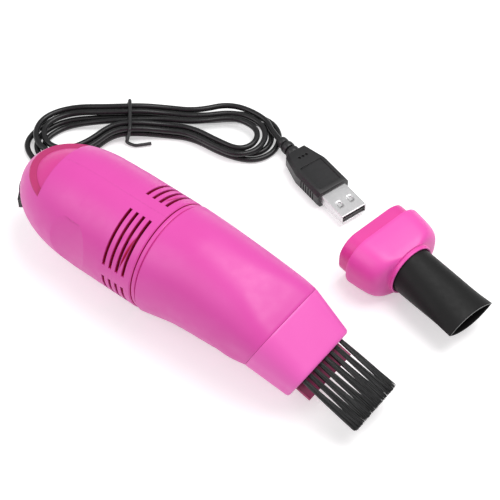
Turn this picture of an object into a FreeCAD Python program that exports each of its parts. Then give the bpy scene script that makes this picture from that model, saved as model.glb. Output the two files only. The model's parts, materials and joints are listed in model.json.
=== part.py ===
import FreeCAD, Part
import math
import os
from FreeCAD import Placement, Rotation, Vector

# A hand held desktop vacuum cleaner that is fed through a cord with a flat four contact plug.
# It lies on its belly on a desk, with a spare nozzle beside it and its cord tied in a hank behind it.
# Millimetres. +X runs from the tail to the brush, +Y to the left side, +Z up, and the desk is at zero.
# The pieces are worked out with the tail's tip at x = 0 and the main axis over y = 0.
# At the end everything moves, so that the origin lies under the middle of the cleaner and its nozzle.

# Driving dimensions of the body
body_radius = 22.6
tail_length = 45.8
tail_round_share = 2.92
tail_full_share = 1.86
housing_length = 70.3
housing_wall = 1.8
edge_break = 0.4
fit_gap = 0.1
slide_gap = 0.3
overrun = 5.0
part_gap = 0.3

# Air slots round the fan
slot_first_x = 57.3
slot_pitch = 3.09
slot_width = 1.3
slot_count = 4
slot_top_start_deg = 11.0
slot_top_end_deg = 74.0
slot_low_start_deg = 88.0
slot_low_end_deg = 146.0

# Stepped tail: a ledge, and a lower dome that stands on it behind the body's front wall
ledge_depth = 10.0
ledge_height = body_radius - ledge_depth
ledge_front_x = 20.0
dome_length = 11.5
dome_half_width = 12.8
dome_drop = 1.8

# Finger flats on both sides
finger_x = 38.0
finger_height = -1.5
finger_depth = 1.1
finger_length = 26.0
finger_ring_radius = 31.0

# Motor
motor_radius = 12.0
motor_back_x = 25.0
motor_front_x = 49.4
motor_wall = 0.8
shaft_radius = 1.0
shaft_back_x = 22.8
shaft_front_x = 64.5
bearing_radius = 3.0
bearing_length = 3.6
bearing_back_length = 2.6
bearing_play = 0.03
cap_thickness = 2.0
cap_flange = 1.0
magnet_thickness = 1.6
magnet_length = 16.0
magnet_span_deg = 120.0
core_radius = 9.2
core_length = 14.0
core_slot_width = 1.6
core_slot_depth = 5.0
core_poles = 3
commutator_radius = 2.6
terminal_offset = 6.0
terminal_width = 2.0
terminal_thickness = 0.5
terminal_length = 4.0

# Bulkhead that carries the motor
bulkhead_thickness = 2.2
bulkhead_rib = 1.0
bulkhead_rib_depth = 1.6
motor_screw_offset = 8.0
motor_screw_radius = 0.9
motor_screw_head_radius = 1.7
motor_screw_head = 1.0
cradle_x = 30.0
cradle_thickness = 1.6

# Housing screws
upper_boss_x = 17.0
upper_boss_height = 6.0
lower_boss_x = 37.0
boss_radius = 2.6
boss_gap = 1.0
lower_boss_height = -(motor_radius + boss_radius + boss_gap)
screw_radius = 1.0
screw_head_radius = 2.0
screw_head = 1.5
screw_depth = 9.0
screw_reach = 13.0

# Fan
fan_room = 5.0
fan_radius = body_radius - fan_room
fan_back_x = 54.6
fan_plate = 1.2
fan_front_x = 66.0
fan_hub_radius = 3.4
fan_blade_start = 6.5
fan_blade_thickness = 0.9
fan_blade_count = 9
fan_blade_bow = 3.2

# Fan cover, gasket and filter
cover_back_x = 67.9
cover_thickness = 1.4
cover_step = 0.5
cover_inlet_radius = 8.0
cover_bar_width = 1.4
spigot_step = 4.0
spigot_radius = body_radius - spigot_step
spigot_wall = 4.2
spigot_length = 7.7
filter_ring_length = 7.4
filter_ring_wall = 1.6
filter_length = 22.0
filter_nose_radius = 9.6
filter_rib_width = 1.6
filter_rib_count = 6
filter_cage_wall = 1.2
filter_cloth = 0.5

# Dust barrel
barrel_wall = 1.8
lip_step = 0.5
lip_radius = body_radius - lip_step
lip_length = 1.7
lip_groove = 0.5
lip_groove_depth = 1.1
barrel_back_radius = body_radius
barrel_collar_length = 8.0
barrel_mid_x = 90.0
barrel_mid_side_step = 1.75
barrel_mid_top_step = 1.7
barrel_mid_half_width = body_radius - barrel_mid_side_step
barrel_mid_half_height = body_radius - barrel_mid_top_step
barrel_mid_rise = 1.95
barrel_fore_x = 108.0
barrel_fore_side_step = 2.45
barrel_fore_top_step = 4.67
barrel_fore_half_width = body_radius - barrel_fore_side_step
barrel_fore_half_height = body_radius - barrel_fore_top_step
barrel_fore_rise = 1.46
barrel_fore_tilt_deg = 8.0
neck_length = 6.0
neck_side_step = 0.1
neck_top_step = 3.0
neck_corner_step = 1.8
neck_tilt_deg = 19.0
neck_rise = -2.27
section_steps = 3
section_flat = 0.3

# Mouth of the barrel, where the nozzle plugs in
mouth_x = 123.2
mouth_height = 0.47
mouth_tilt_deg = 21.5
mouth_half_width = 19.2
mouth_half_height = 11.8
mouth_corner = 10.3
neck_half_width = mouth_half_width + neck_side_step
neck_half_height = mouth_half_height + neck_top_step
neck_corner = mouth_corner + neck_corner_step

# Brush nozzle
tongue_length = 6.0
tongue_wall = 1.4
nozzle_length = 19.2
nozzle_wall = 1.6
nozzle_front_half_width = 16.0
nozzle_front_half_height = 8.9
nozzle_front_corner = 6.6
nozzle_front_rise = -1.2
nozzle_edge = 1.0
holder_set_back = 1.0
holder_depth = 4.0
brush_lift_deg = 3.1
duct_half_width = 12.4
duct_height = 3.6
duct_floor_height = -1.0
lip_plate_reach = 6.4
lip_plate_thickness = 1.3
tuft_count = 8
tuft_pitch = 3.15
tuft_height = 4.0
tuft_root_radius = 1.1
tuft_tip_radius = 1.5
tuft_length = 26.3
tuft_depth = 3.0

# Spare nozzle, lying on the desk
spare_x = 118.9
spare_y = 61.8
spare_yaw_deg = -9.8
spare_collar_length = 15.4
spare_shoulder_half_width = 17.9
spare_shoulder_half_height = 11.5
spare_shoulder_corner = 9.6
spare_shoulder_share = 0.67
spare_face_half_width = 14.0
spare_face_half_height = 10.6
spare_face_corner = 10.0
spare_lip_radius = 11.4
spare_lip_length = 1.6
tube_root_radius = 10.0
tube_root_depth = 6.0
tube_mouth_half_width = 11.8
tube_mouth_half_height = 3.75
tube_length = 31.2
tube_wall = 1.1
tube_mid_share = 0.5

# Cord, its gland and its hank
cord_diameter = 2.4
gland_place_share = 0.1747
gland_round_deg = 137.5
gland_yaw_deg = 153.435
gland_drop_deg = 41.81
gland_radius = 2.5
gland_length = 8.0
gland_depth = 4.0
gland_flange = 0.9
hank_left_x = -21.3
hank_left_y = 31.2
hank_heading_deg = 58.5
hank_bend_radius = 109.4
hank_waist_along = 33.0
hank_waist_aside = -3.0
hank_hold_along = 54.0
hank_hold_aside = -2.0
hank_pitch = 3.25
hank_waist_pitch = 3.2
hank_runs = 9
hank_fold_radius = 7.3
layer_step = 2.95
hank_start = 3.0
hank_finish = 5.0
skip_length = 18.0

# Folds of the lower and of the upper layer: place along and beside the hank's middle line, and turn
left_folds = [(3.0, -7.0, 20.0), (6.0, -5.0, 8.0)]
right_folds = [(85.0, -0.5, 6.0), (81.5, -1.5, -8.0)]

# Hand chosen points of the cord on the desk, from the gland to the hank, and its straight ends
lead_points = [(-13.0, 15.0), (-24.9, 19.2)]
lead_drop = 7.0
lead_last_run = 7.0
tail_first_run = 9.5
tail_last_run = 5.5

# Wire tie round the hank, with a bent end that lies on the desk
tie_radius = 0.8
tie_corner = 2.2
tie_end_corner_x = 2.6
tie_end_corner_out = 2.3
tie_end_tip_x = 10.5
tie_end_tip_out = 1.2

# Plug on the cord's end
plug_x = 91.75
plug_y = 75.75
plug_yaw_deg = -15.5
plug_length = 25.0
plug_taper_length = 10.0
plug_half_width = 7.7
plug_height = 8.2
plug_corner = 1.6
plug_back_half_width = 5.2
plug_back_height = 7.6
relief_length = 10.0
relief_root_radius = 2.9
relief_tip_radius = 1.8
relief_ring_count = 4
relief_ring_depth = 0.35
shell_width = 12.0
shell_height = 4.5
shell_length = 13.4
shell_depth = 3.0
shell_wall = 0.3
shell_hole = 2.2
shell_hole_offset = 2.6
shell_hole_back = 6.4
insulator_width = 11.1
insulator_thickness = 1.9
insulator_set_back = 0.6
contact_count = 4
contact_pitch = 2.3
contact_width = 1.2
contact_thickness = 0.3
contact_length = 7.0

# Slide switch in the tail's right flank
switch_place_share = 0.105
switch_drop = 3.8
switch_proud = 0.3
switch_yaw_deg = 215.0
switch_plate_height = 10.6
switch_plate_width = 7.0
switch_plate_back = 1.6
switch_plate_front = 0.35
switch_case_depth = 7.0
switch_knob_height = 5.0
switch_knob_width = 4.0
switch_knob_front = 1.3
switch_knob_flange = 0.5
switch_flange_thickness = 1.2
switch_groove = 0.5
switch_groove_count = 3
switch_travel = 3.0

# Wires inside the tail
wire_radius = 0.5
wire_run = 3.5
wire_bend_x = 17.5

route_share = 0.45
tiny_share = 1e-6

shapes = {}
cord_names = []


def lifted(shape):
    """Move a piece that was drawn round the main axis up to the height of that axis."""
    moved = shape.copy()
    moved.translate(Vector(0, 0, body_radius))
    return moved


def cylinder_x(radius, start, end, y=0, z=0):
    return Part.makeCylinder(radius, end - start, Vector(start, y, z), Vector(1, 0, 0))


def ring_x(outer, inner, start, end):
    hole = cylinder_x(inner, start - overrun, end + overrun)
    return cylinder_x(outer, start, end).cut(hole)


def block(x_low, x_high, y_low, y_high, z_low, z_high):
    corner = Vector(x_low, y_low, z_low)
    return Part.makeBox(x_high - x_low, y_high - y_low, z_high - z_low, corner)


def tail_radius(x):
    """Radius of the blunt tail's outside at a place along the axis."""
    fall = (1.0 - x / tail_length) ** tail_round_share
    return body_radius * (1.0 - fall) ** (1.0 / tail_full_share)


def tail_points(radius, start, length):
    """Points of the blunt tail: a circle bent towards a square, from the tip to the full radius."""
    points = []
    steps = 11
    for step in range(steps + 1):
        turn = math.radians(90.0 * step / steps)
        share = 1.0 - math.cos(turn)
        fall = (1.0 - share) ** tail_round_share
        points.append(Vector(start + length * share, 0, radius * (1.0 - fall) ** (1.0 / tail_full_share)))
    return points


def tail_solid(radius, start, end, chamfer):
    """Solid of revolution: the tail's curve, then a straight barrel up to the end face."""
    length = tail_length - start
    curve = Part.BSplineCurve()
    curve.interpolate(Points=tail_points(radius, start, length),
                      InitialTangent=Vector(0, 0, 1), FinalTangent=Vector(1, 0, 0))
    shoulder = Vector(tail_length, 0, radius)
    corner_back = Vector(end - chamfer, 0, radius)
    corner_front = Vector(end, 0, radius - chamfer)
    axis_front = Vector(end, 0, 0)
    tip = Vector(start, 0, 0)
    edges = [curve.toShape()]
    edges.append(Part.LineSegment(shoulder, corner_back).toShape())
    if chamfer > 0:
        edges.append(Part.LineSegment(corner_back, corner_front).toShape())
    edges.append(Part.LineSegment(corner_front, axis_front).toShape())
    edges.append(Part.LineSegment(axis_front, tip).toShape())
    return Part.Face(Part.Wire(edges)).revolve(Vector(0, 0, 0), Vector(1, 0, 0), 360)


def oval_wire(x, half_width, half_height, corner, rise=0):
    """Rounded rectangle across the X axis, starting at the same corner each time."""
    w = half_width
    h = half_height
    c = corner
    k = c * (1.0 - math.sqrt(0.5))
    points = [(-w + c, h), (w - c, h), (w - k, h - k), (w, h - c), (w, c - h), (w - k, k - h),
              (w - c, -h), (c - w, -h), (k - w, k - h), (-w, c - h), (-w, h - c), (k - w, h - k)]
    p = [Vector(x, y, z + rise) for y, z in points]
    edges = []
    for start in (0, 3, 6, 9):
        edges.append(Part.LineSegment(p[start], p[start + 1]).toShape())
        edges.append(Part.Arc(p[start + 1], p[start + 2], p[(start + 3) % 12]).toShape())
    return Part.Wire(edges)


def tilted(shape, placement):
    moved = shape.copy()
    moved.Placement = placement.multiply(moved.Placement)
    return moved


def bored(shape, placement):
    """The same for a solid, with its geometry really moved."""
    return shape.transformed(placement.toMatrix(), True)


def tilt_placement(x, height, tilt_deg):
    return Placement(Vector(x, 0, height), Rotation(Vector(0, 1, 0), tilt_deg))


def yaw_placement(x, y, z, yaw_deg):
    return Placement(Vector(x, y, z), Rotation(Vector(0, 0, 1), yaw_deg))


def loft(wires):
    return Part.makeLoft(wires, True, False)


def add(name, shape):
    shapes[name] = shape


def add_cord(name, shape):
    shapes[name] = shape
    cord_names.append(name)


def sector(radius, start_x, end_x, start_deg, end_deg):
    """Wedge round the X axis. Angles are measured from straight up towards +Y."""
    wedge = Part.makeCylinder(radius, end_x - start_x, Vector(start_x, 0, 0), Vector(1, 0, 0),
                              end_deg - start_deg)
    first = wedge.CenterOfMass
    now_deg = math.degrees(math.atan2(first.y, first.z))
    wanted_deg = (start_deg + end_deg) / 2.0
    wedge.rotate(Vector(0, 0, 0), Vector(1, 0, 0), now_deg - wanted_deg)
    return wedge


# The mouth's own frame: its local X points out of the mouth, along the drooping nozzle
mouth_place = tilt_placement(mouth_x, mouth_height, mouth_tilt_deg)
screw_places = [(upper_boss_x, upper_boss_height), (lower_boss_x, lower_boss_height)]
switch_x = switch_place_share * tail_length
switch_reach = math.sqrt((tail_radius(switch_x) + switch_proud) ** 2 - switch_drop ** 2)
switch_place = yaw_placement(switch_x, -switch_reach, -switch_drop, switch_yaw_deg)
inner_radius = body_radius - housing_wall


def dome_plan(inset):
    """Half an ellipse seen from above, straight at the front, tall enough to cut with."""
    half = dome_half_width - inset
    length = dome_length - inset
    ellipse = Part.Ellipse(Vector(ledge_front_x, half, 0), Vector(ledge_front_x - length, 0, 0),
                           Vector(ledge_front_x, 0, 0))
    disc = Part.Face(Part.Wire([ellipse.toShape()])).extrude(Vector(0, 0, body_radius + overrun))
    return disc


def finger_cut(side):
    """Shallow saddle in the side: round in section, and hollow along the axis."""
    reach = finger_length / 2.0
    sag = finger_depth * 2.0
    ring = finger_ring_radius
    centre_y = body_radius - finger_depth - ring
    low = Vector(finger_x, 0, ring)
    back = Vector(finger_x - reach, 0, ring + sag)
    front = Vector(finger_x + reach, 0, ring + sag)
    far = ring + sag + overrun
    arc = Part.Arc(back, low, front).toShape()
    rest = Part.makePolygon([front, Vector(finger_x + reach, 0, far), Vector(finger_x - reach, 0, far), back])
    face = Part.Face(Part.Wire([arc] + rest.Edges))
    tool = face.revolve(Vector(0, 0, 0), Vector(1, 0, 0), 360)
    keep = block(finger_x - reach, finger_x + reach, 0, far + overrun, -ring / 2.0, ring / 2.0)
    tool = tool.common(keep)
    tool.translate(Vector(0, centre_y, finger_height))
    if side < 0:
        tool = tool.mirror(Vector(0, 0, 0), Vector(0, 1, 0))
    return tool


def slot_tools():
    """Cutters of all the air slots, four rings of slots in each quarter of the housing."""
    tools = []
    spans = [(slot_top_start_deg, slot_top_end_deg), (slot_low_start_deg, slot_low_end_deg)]
    for number in range(slot_count):
        middle = slot_first_x + number * slot_pitch
        start_x = middle - slot_width / 2.0
        end_x = middle + slot_width / 2.0
        for low, high in spans:
            for side in (1, -1):
                start_deg = low if side > 0 else -high
                wedge = sector(body_radius + overrun, start_x, end_x, start_deg, start_deg + high - low)
                core = cylinder_x(inner_radius - edge_break, start_x - overrun, end_x + overrun)
                tools.append(wedge.cut(core))
    return tools


# Gland of the cord: it leaves the tail low down, towards the back and the desk
gland_yaw = math.radians(gland_yaw_deg)
gland_drop = math.radians(gland_drop_deg)
gland_way = Vector(math.cos(gland_drop) * math.cos(gland_yaw), math.cos(gland_drop) * math.sin(gland_yaw),
                   -math.sin(gland_drop))
gland_x = gland_place_share * tail_length
gland_round = math.radians(gland_round_deg)
gland_point = Vector(gland_x, tail_radius(gland_x) * math.sin(gland_round),
                     body_radius + tail_radius(gland_x) * math.cos(gland_round))
cord_radius = cord_diameter / 2.0
gland_end = gland_point + gland_way * gland_length


def housing():
    """Both halves of the rear housing as one hollow shell, before it is split along its top line."""
    outer = tail_solid(body_radius, 0, housing_length, edge_break)
    cavity = tail_solid(inner_radius, housing_wall, housing_length + overrun, 0)
    recess = block(-overrun, ledge_front_x, -body_radius, body_radius, ledge_height, body_radius + overrun)
    roof = block(-overrun, ledge_front_x + housing_wall, -body_radius, body_radius,
                 ledge_height - housing_wall, body_radius + overrun)
    skin = tail_solid(body_radius - dome_drop, dome_drop, housing_length, 0)
    above = block(-overrun, ledge_front_x + housing_wall, -body_radius, body_radius,
                  ledge_height - housing_wall, body_radius)
    dome = skin.common(dome_plan(0)).common(above)
    under = tail_solid(body_radius - dome_drop - housing_wall, dome_drop + housing_wall, housing_length, 0)
    hollow = under.common(dome_plan(housing_wall)).common(above)
    behind_front = block(-overrun, ledge_front_x, -body_radius, body_radius, 0, body_radius + overrun)
    dome = dome.common(behind_front)
    cavity = cavity.cut(roof).fuse(hollow.common(behind_front))
    shell = outer.cut(recess).fuse(dome).cut(cavity)
    seat = cylinder_x(body_radius - housing_wall + cover_step, cover_back_x, housing_length + overrun)
    shell = shell.cut(seat)
    ribs = []
    rib_inner = inner_radius - bulkhead_rib_depth
    behind = motor_front_x - bulkhead_rib
    ahead = motor_front_x + bulkhead_thickness
    for start in (behind, ahead):
        ribs.append(ring_x(inner_radius + edge_break, rib_inner, start, start + bulkhead_rib))
    cradle = ring_x(inner_radius + edge_break, motor_radius + fit_gap, cradle_x, cradle_x + cradle_thickness)
    ribs.append(cradle.common(tail_solid(inner_radius + edge_break, housing_wall, housing_length, 0)))
    shell = shell.fuse(ribs)
    for boss_x, height in screw_places:
        boss = Part.makeCylinder(boss_radius, 2.0 * body_radius, Vector(boss_x, -body_radius, height),
                                 Vector(0, 1, 0))
        boss = boss.common(tail_solid(inner_radius + edge_break, housing_wall, housing_length, 0))
        shell = shell.fuse(boss)
    for side in (1, -1):
        shell = shell.cut(finger_cut(side))
    shell = shell.cut(slot_tools())
    for boss_x, height in screw_places:
        bore = Part.makeCylinder(screw_radius + fit_gap, screw_reach + overrun,
                                 Vector(boss_x, screw_depth - fit_gap - screw_reach, height), Vector(0, 1, 0))
        head = Part.makeCylinder(screw_head_radius + fit_gap, body_radius,
                                 Vector(boss_x, screw_depth, height), Vector(0, 1, 0))
        shell = shell.cut(bore).cut(head)
    drop = Vector(0, 0, -body_radius)
    gland_hole = Part.makeCylinder(gland_radius, gland_length + gland_depth + overrun,
                                   gland_point - gland_way * (gland_depth + overrun) + drop, gland_way)
    window = block(-switch_case_depth - overrun, overrun, -switch_plate_width / 2.0, switch_plate_width / 2.0,
                   -switch_plate_height / 2.0, switch_plate_height / 2.0)
    return shell.cut(gland_hole).cut(bored(window, switch_place))


def make_housing():
    shell = housing()
    span = body_radius + overrun
    left = block(-overrun, housing_length + overrun, 0, span, -span, span)
    right = block(-overrun, housing_length + overrun, -span, 0, -span, span)
    add("rear_housing_left", lifted(shell.common(left)))
    add("rear_housing_right", lifted(shell.common(right)))
    screws = []
    for boss_x, height in screw_places:
        shank = Part.makeCylinder(screw_radius, screw_reach,
                                  Vector(boss_x, screw_depth - screw_reach, height), Vector(0, 1, 0))
        head = Part.makeCylinder(screw_head_radius, screw_head, Vector(boss_x, screw_depth, height),
                                 Vector(0, 1, 0))
        notch = block(boss_x - screw_head_radius, boss_x + screw_head_radius,
                      screw_depth + screw_head / 2.0, screw_depth + screw_head + overrun,
                      height - edge_break, height + edge_break)
        screws.append(shank.fuse(head).cut(notch))
    add("housing_screws", lifted(Part.makeCompound(screws)))


def make_switch():
    """Slide switch: a framed plate flush with the flank, a case behind it and a grooved knob between."""
    half_width = switch_plate_width / 2.0
    half_height = switch_plate_height / 2.0
    room_height = switch_knob_height + switch_travel
    low = -room_height / 2.0
    gap = slide_gap
    knob_half = switch_knob_width / 2.0
    flange_half = knob_half + switch_knob_flange
    plate = block(-switch_plate_back, switch_case_depth, -half_width, half_width, -half_height, half_height)
    proud = switch_plate_front
    flank = tail_solid(body_radius + proud, -proud, housing_length, 0)
    slot = block(-switch_plate_back - overrun, switch_case_depth + overrun, -knob_half - gap, knob_half + gap,
                 low - gap, -low + gap)
    add("switch_bezel", lifted(bored(plate.cut(slot), switch_place).common(flank)))
    flange_front = -switch_plate_back - gap
    flange_back = flange_front - switch_flange_thickness
    case = block(-switch_case_depth, -switch_plate_back, -half_width, half_width, -half_height, half_height)
    well = block(flange_back - gap, 0, -flange_half - gap, flange_half + gap, low - gap, -low + gap)
    add("switch_body", lifted(bored(case.cut(well), switch_place)))
    knob = block(flange_front, switch_knob_front, -knob_half, knob_half, low, low + switch_knob_height)
    flange = block(flange_back, flange_front, -flange_half, flange_half, low, low + switch_knob_height)
    grooves = []
    pitch = switch_knob_height / (switch_groove_count + 1)
    for number in range(switch_groove_count):
        middle = low + pitch * (number + 1)
        grooves.append(block(switch_knob_front - switch_groove, overrun, -half_width, half_width,
                             middle - switch_groove / 2.0, middle + switch_groove / 2.0))
    add("switch_knob", lifted(bored(knob.cut(grooves).fuse(flange), switch_place)))


def make_motor():
    can = cylinder_x(motor_radius, motor_back_x, motor_front_x)
    can = can.cut(cylinder_x(motor_radius - motor_wall, motor_back_x - overrun, motor_front_x - motor_wall))
    can = can.cut(cylinder_x(bearing_radius, motor_front_x - overrun, motor_front_x + overrun))
    for side in (1, -1):
        can = can.cut(cylinder_x(motor_screw_radius + fit_gap, motor_front_x - overrun,
                                 motor_front_x + overrun, side * motor_screw_offset))
    add("motor_can", lifted(can))
    inside = motor_radius - motor_wall
    plug = cylinder_x(inside - fit_gap, motor_back_x, motor_back_x + cap_thickness)
    flange = cylinder_x(motor_radius, motor_back_x - cap_flange, motor_back_x)
    cap = plug.fuse(flange).cut(cylinder_x(bearing_radius, motor_back_x - overrun,
                                           motor_back_x + cap_thickness + overrun))
    terminals = []
    for side in (1, -1):
        tab = block(motor_back_x - cap_flange - terminal_length, motor_back_x - cap_flange,
                    side * terminal_offset - terminal_thickness / 2.0,
                    side * terminal_offset + terminal_thickness / 2.0,
                    -terminal_width / 2.0, terminal_width / 2.0)
        terminals.append(tab)
    add("motor_end_cap", lifted(cap))
    add("motor_terminals", lifted(Part.makeCompound(terminals)))
    front_start = motor_front_x - bearing_length / 2.0
    front = ring_x(bearing_radius, shaft_radius + bearing_play, front_start, front_start + bearing_length)
    back_start = motor_back_x - cap_flange
    back = ring_x(bearing_radius, shaft_radius + bearing_play, back_start, back_start + bearing_back_length)
    add("motor_bushes", lifted(Part.makeCompound([front, back])))
    magnet_start = (motor_back_x + motor_front_x - magnet_length) / 2.0
    magnets = []
    for start_deg in (-magnet_span_deg / 2.0, 180.0 - magnet_span_deg / 2.0):
        arc = sector(inside, magnet_start, magnet_start + magnet_length, start_deg,
                     start_deg + magnet_span_deg)
        magnets.append(arc.cut(cylinder_x(inside - magnet_thickness, motor_back_x, motor_front_x)))
    add("motor_magnets", lifted(Part.makeCompound(magnets)))
    core_start = (motor_back_x + motor_front_x - core_length) / 2.0
    core = ring_x(core_radius, shaft_radius, core_start, core_start + core_length)
    for pole in range(core_poles):
        slot = block(core_start - overrun, core_start + core_length + overrun, -core_slot_width / 2.0,
                     core_slot_width / 2.0, core_radius - core_slot_depth, core_radius + overrun)
        slot.rotate(Vector(0, 0, 0), Vector(1, 0, 0), 360.0 * pole / core_poles)
        core = core.cut(slot)
    add("motor_armature", lifted(core))
    commutator_start = back_start + bearing_back_length + slide_gap
    commutator = ring_x(commutator_radius, shaft_radius, commutator_start, core_start)
    add("motor_commutator", lifted(commutator))
    add("motor_shaft", lifted(cylinder_x(shaft_radius, shaft_back_x, shaft_front_x)))


def make_bulkhead():
    start = motor_front_x
    end = motor_front_x + bulkhead_thickness
    plate = ring_x(inner_radius - fit_gap, bearing_radius + fit_gap, start, end)
    screws = []
    for side in (1, -1):
        plate = plate.cut(cylinder_x(motor_screw_radius + fit_gap, start - overrun, end + overrun,
                                     side * motor_screw_offset))
        shank = cylinder_x(motor_screw_radius, start - motor_wall, end, side * motor_screw_offset)
        head = cylinder_x(motor_screw_head_radius, end, end + motor_screw_head, side * motor_screw_offset)
        screws.append(shank.fuse(head))
    add("motor_mount", lifted(plate))
    add("motor_screws", lifted(Part.makeCompound(screws)))


def make_fan():
    """Radial fan: back plate, hub and blades that bow backwards."""
    plate = ring_x(fan_radius, shaft_radius, fan_back_x, fan_back_x + fan_plate)
    hub = ring_x(fan_hub_radius, shaft_radius, fan_back_x, fan_front_x)
    pieces = [hub]
    tip = fan_radius - fan_blade_thickness / 2.0
    middle = (fan_blade_start + tip) / 2.0
    half = fan_blade_thickness / 2.0
    for number in range(fan_blade_count):
        outer = Part.Arc(Vector(fan_back_x + fan_plate / 2.0, half, fan_blade_start - half),
                         Vector(fan_back_x + fan_plate / 2.0, fan_blade_bow + half, middle),
                         Vector(fan_back_x + fan_plate / 2.0, half, tip)).toShape()
        inner = Part.Arc(Vector(fan_back_x + fan_plate / 2.0, -half, tip),
                         Vector(fan_back_x + fan_plate / 2.0, fan_blade_bow - half, middle),
                         Vector(fan_back_x + fan_plate / 2.0, -half, fan_blade_start - half)).toShape()
        ends = [Part.LineSegment(outer.Vertexes[-1].Point, inner.Vertexes[0].Point).toShape(),
                Part.LineSegment(inner.Vertexes[-1].Point, outer.Vertexes[0].Point).toShape()]
        face = Part.Face(Part.Wire([outer, ends[0], inner, ends[1]]))
        blade = face.extrude(Vector(fan_front_x - fan_back_x - fan_plate / 2.0, 0, 0))
        blade.rotate(Vector(0, 0, 0), Vector(1, 0, 0), 360.0 * number / fan_blade_count)
        pieces.append(blade)
    add("impeller", lifted(plate.fuse(pieces).removeSplitter()))


def make_cover():
    front = cover_back_x + cover_thickness
    plate = ring_x(body_radius - housing_wall + cover_step - fit_gap, cover_inlet_radius, cover_back_x, front)
    bars = []
    for turn_deg in (0.0, 60.0, 120.0):
        bar = block(cover_back_x, front, -cover_inlet_radius - edge_break, cover_inlet_radius + edge_break,
                    -cover_bar_width / 2.0, cover_bar_width / 2.0)
        bar.rotate(Vector(0, 0, 0), Vector(1, 0, 0), turn_deg)
        bars.append(bar)
    spigot = ring_x(spigot_radius, spigot_radius - spigot_wall, front - edge_break, front + spigot_length)
    add("fan_shroud", lifted(plate.fuse(bars + [spigot])))
    gasket_end = housing_length + part_gap
    add("barrel_seal", lifted(ring_x(body_radius - housing_wall - fit_gap, spigot_radius + slide_gap,
                                       front, gasket_end)))


def cone_shell(start, end, start_radius, end_radius, wall):
    outer = Part.makeCone(start_radius, end_radius, end - start, Vector(start, 0, 0), Vector(1, 0, 0))
    inner = Part.makeCone(start_radius - wall, end_radius - wall, end - start, Vector(start, 0, 0),
                          Vector(1, 0, 0))
    return outer.cut(inner)


def make_filter():
    """Cup of fine cloth in a cage: a ring that plugs into the fan cover, ribs and a nose."""
    start = cover_back_x + cover_thickness + part_gap
    ring_end = start + filter_ring_length
    end = start + filter_length
    ring_radius = spigot_radius - spigot_wall - slide_gap
    ring = ring_x(ring_radius, ring_radius - filter_ring_wall, start, ring_end)
    root_radius = ring_radius - filter_ring_wall + filter_cage_wall
    cage = cone_shell(ring_end - edge_break, end, root_radius, filter_nose_radius, filter_cage_wall)
    wedges = []
    for number in range(filter_rib_count):
        wedge = block(start, end + overrun, -filter_rib_width / 2.0, filter_rib_width / 2.0, 0,
                      body_radius)
        wedge.rotate(Vector(0, 0, 0), Vector(1, 0, 0), 360.0 * number / filter_rib_count)
        wedges.append(cage.common(wedge))
    nose = cylinder_x(filter_nose_radius, end - filter_cage_wall, end)
    window = ring_x(filter_nose_radius - filter_cage_wall - filter_cage_wall, filter_rib_width,
                    end - overrun, end + overrun)
    spokes = []
    for number in range(filter_rib_count // 2):
        spoke = block(end - filter_cage_wall, end, -filter_nose_radius + edge_break,
                      filter_nose_radius - edge_break, -filter_rib_width / 2.0, filter_rib_width / 2.0)
        spoke.rotate(Vector(0, 0, 0), Vector(1, 0, 0), 360.0 * number / filter_rib_count)
        spokes.append(spoke)
    frame = ring.fuse(wedges + [nose.cut(window)] + spokes)
    add("filter_frame", lifted(frame.removeSplitter()))
    cloth_start = start + edge_break
    slope = (root_radius - filter_nose_radius) / (end - ring_end + edge_break)
    near = root_radius - filter_cage_wall - fit_gap - slope * edge_break
    far_x = end - filter_cage_wall - fit_gap
    far = near - slope * (far_x - ring_end)
    side = cone_shell(ring_end, far_x, near, far, filter_cloth)
    skirt = ring_x(near, near - filter_cloth, cloth_start, ring_end)
    disc = cylinder_x(far, far_x - filter_cloth, far_x)
    add("filter_cloth", lifted(skirt.fuse([side, disc]).removeSplitter()))


def blended(values, places, at):
    """Smooth curve through the values at their places, without any overshoot between them."""
    slopes = [(b - a) / (d - c) for a, b, c, d in zip(values, values[1:], places, places[1:])]
    bends = [slopes[0]]
    for before, after in zip(slopes, slopes[1:]):
        same_way = before * after > 0
        bends.append(2.0 * before * after / (before + after) if same_way else 0)
    bends.append(slopes[-1])
    number = 0
    while number < len(slopes) - 1 and at > places[number + 1]:
        number = number + 1
    width = places[number + 1] - places[number]
    t = (at - places[number]) / width
    return (values[number] * (1 + 2 * t) * (1 - t) ** 2 + values[number + 1] * t * t * (3 - 2 * t)
            + bends[number] * width * t * (1 - t) ** 2 - bends[number + 1] * width * t * t * (1 - t))


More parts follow.
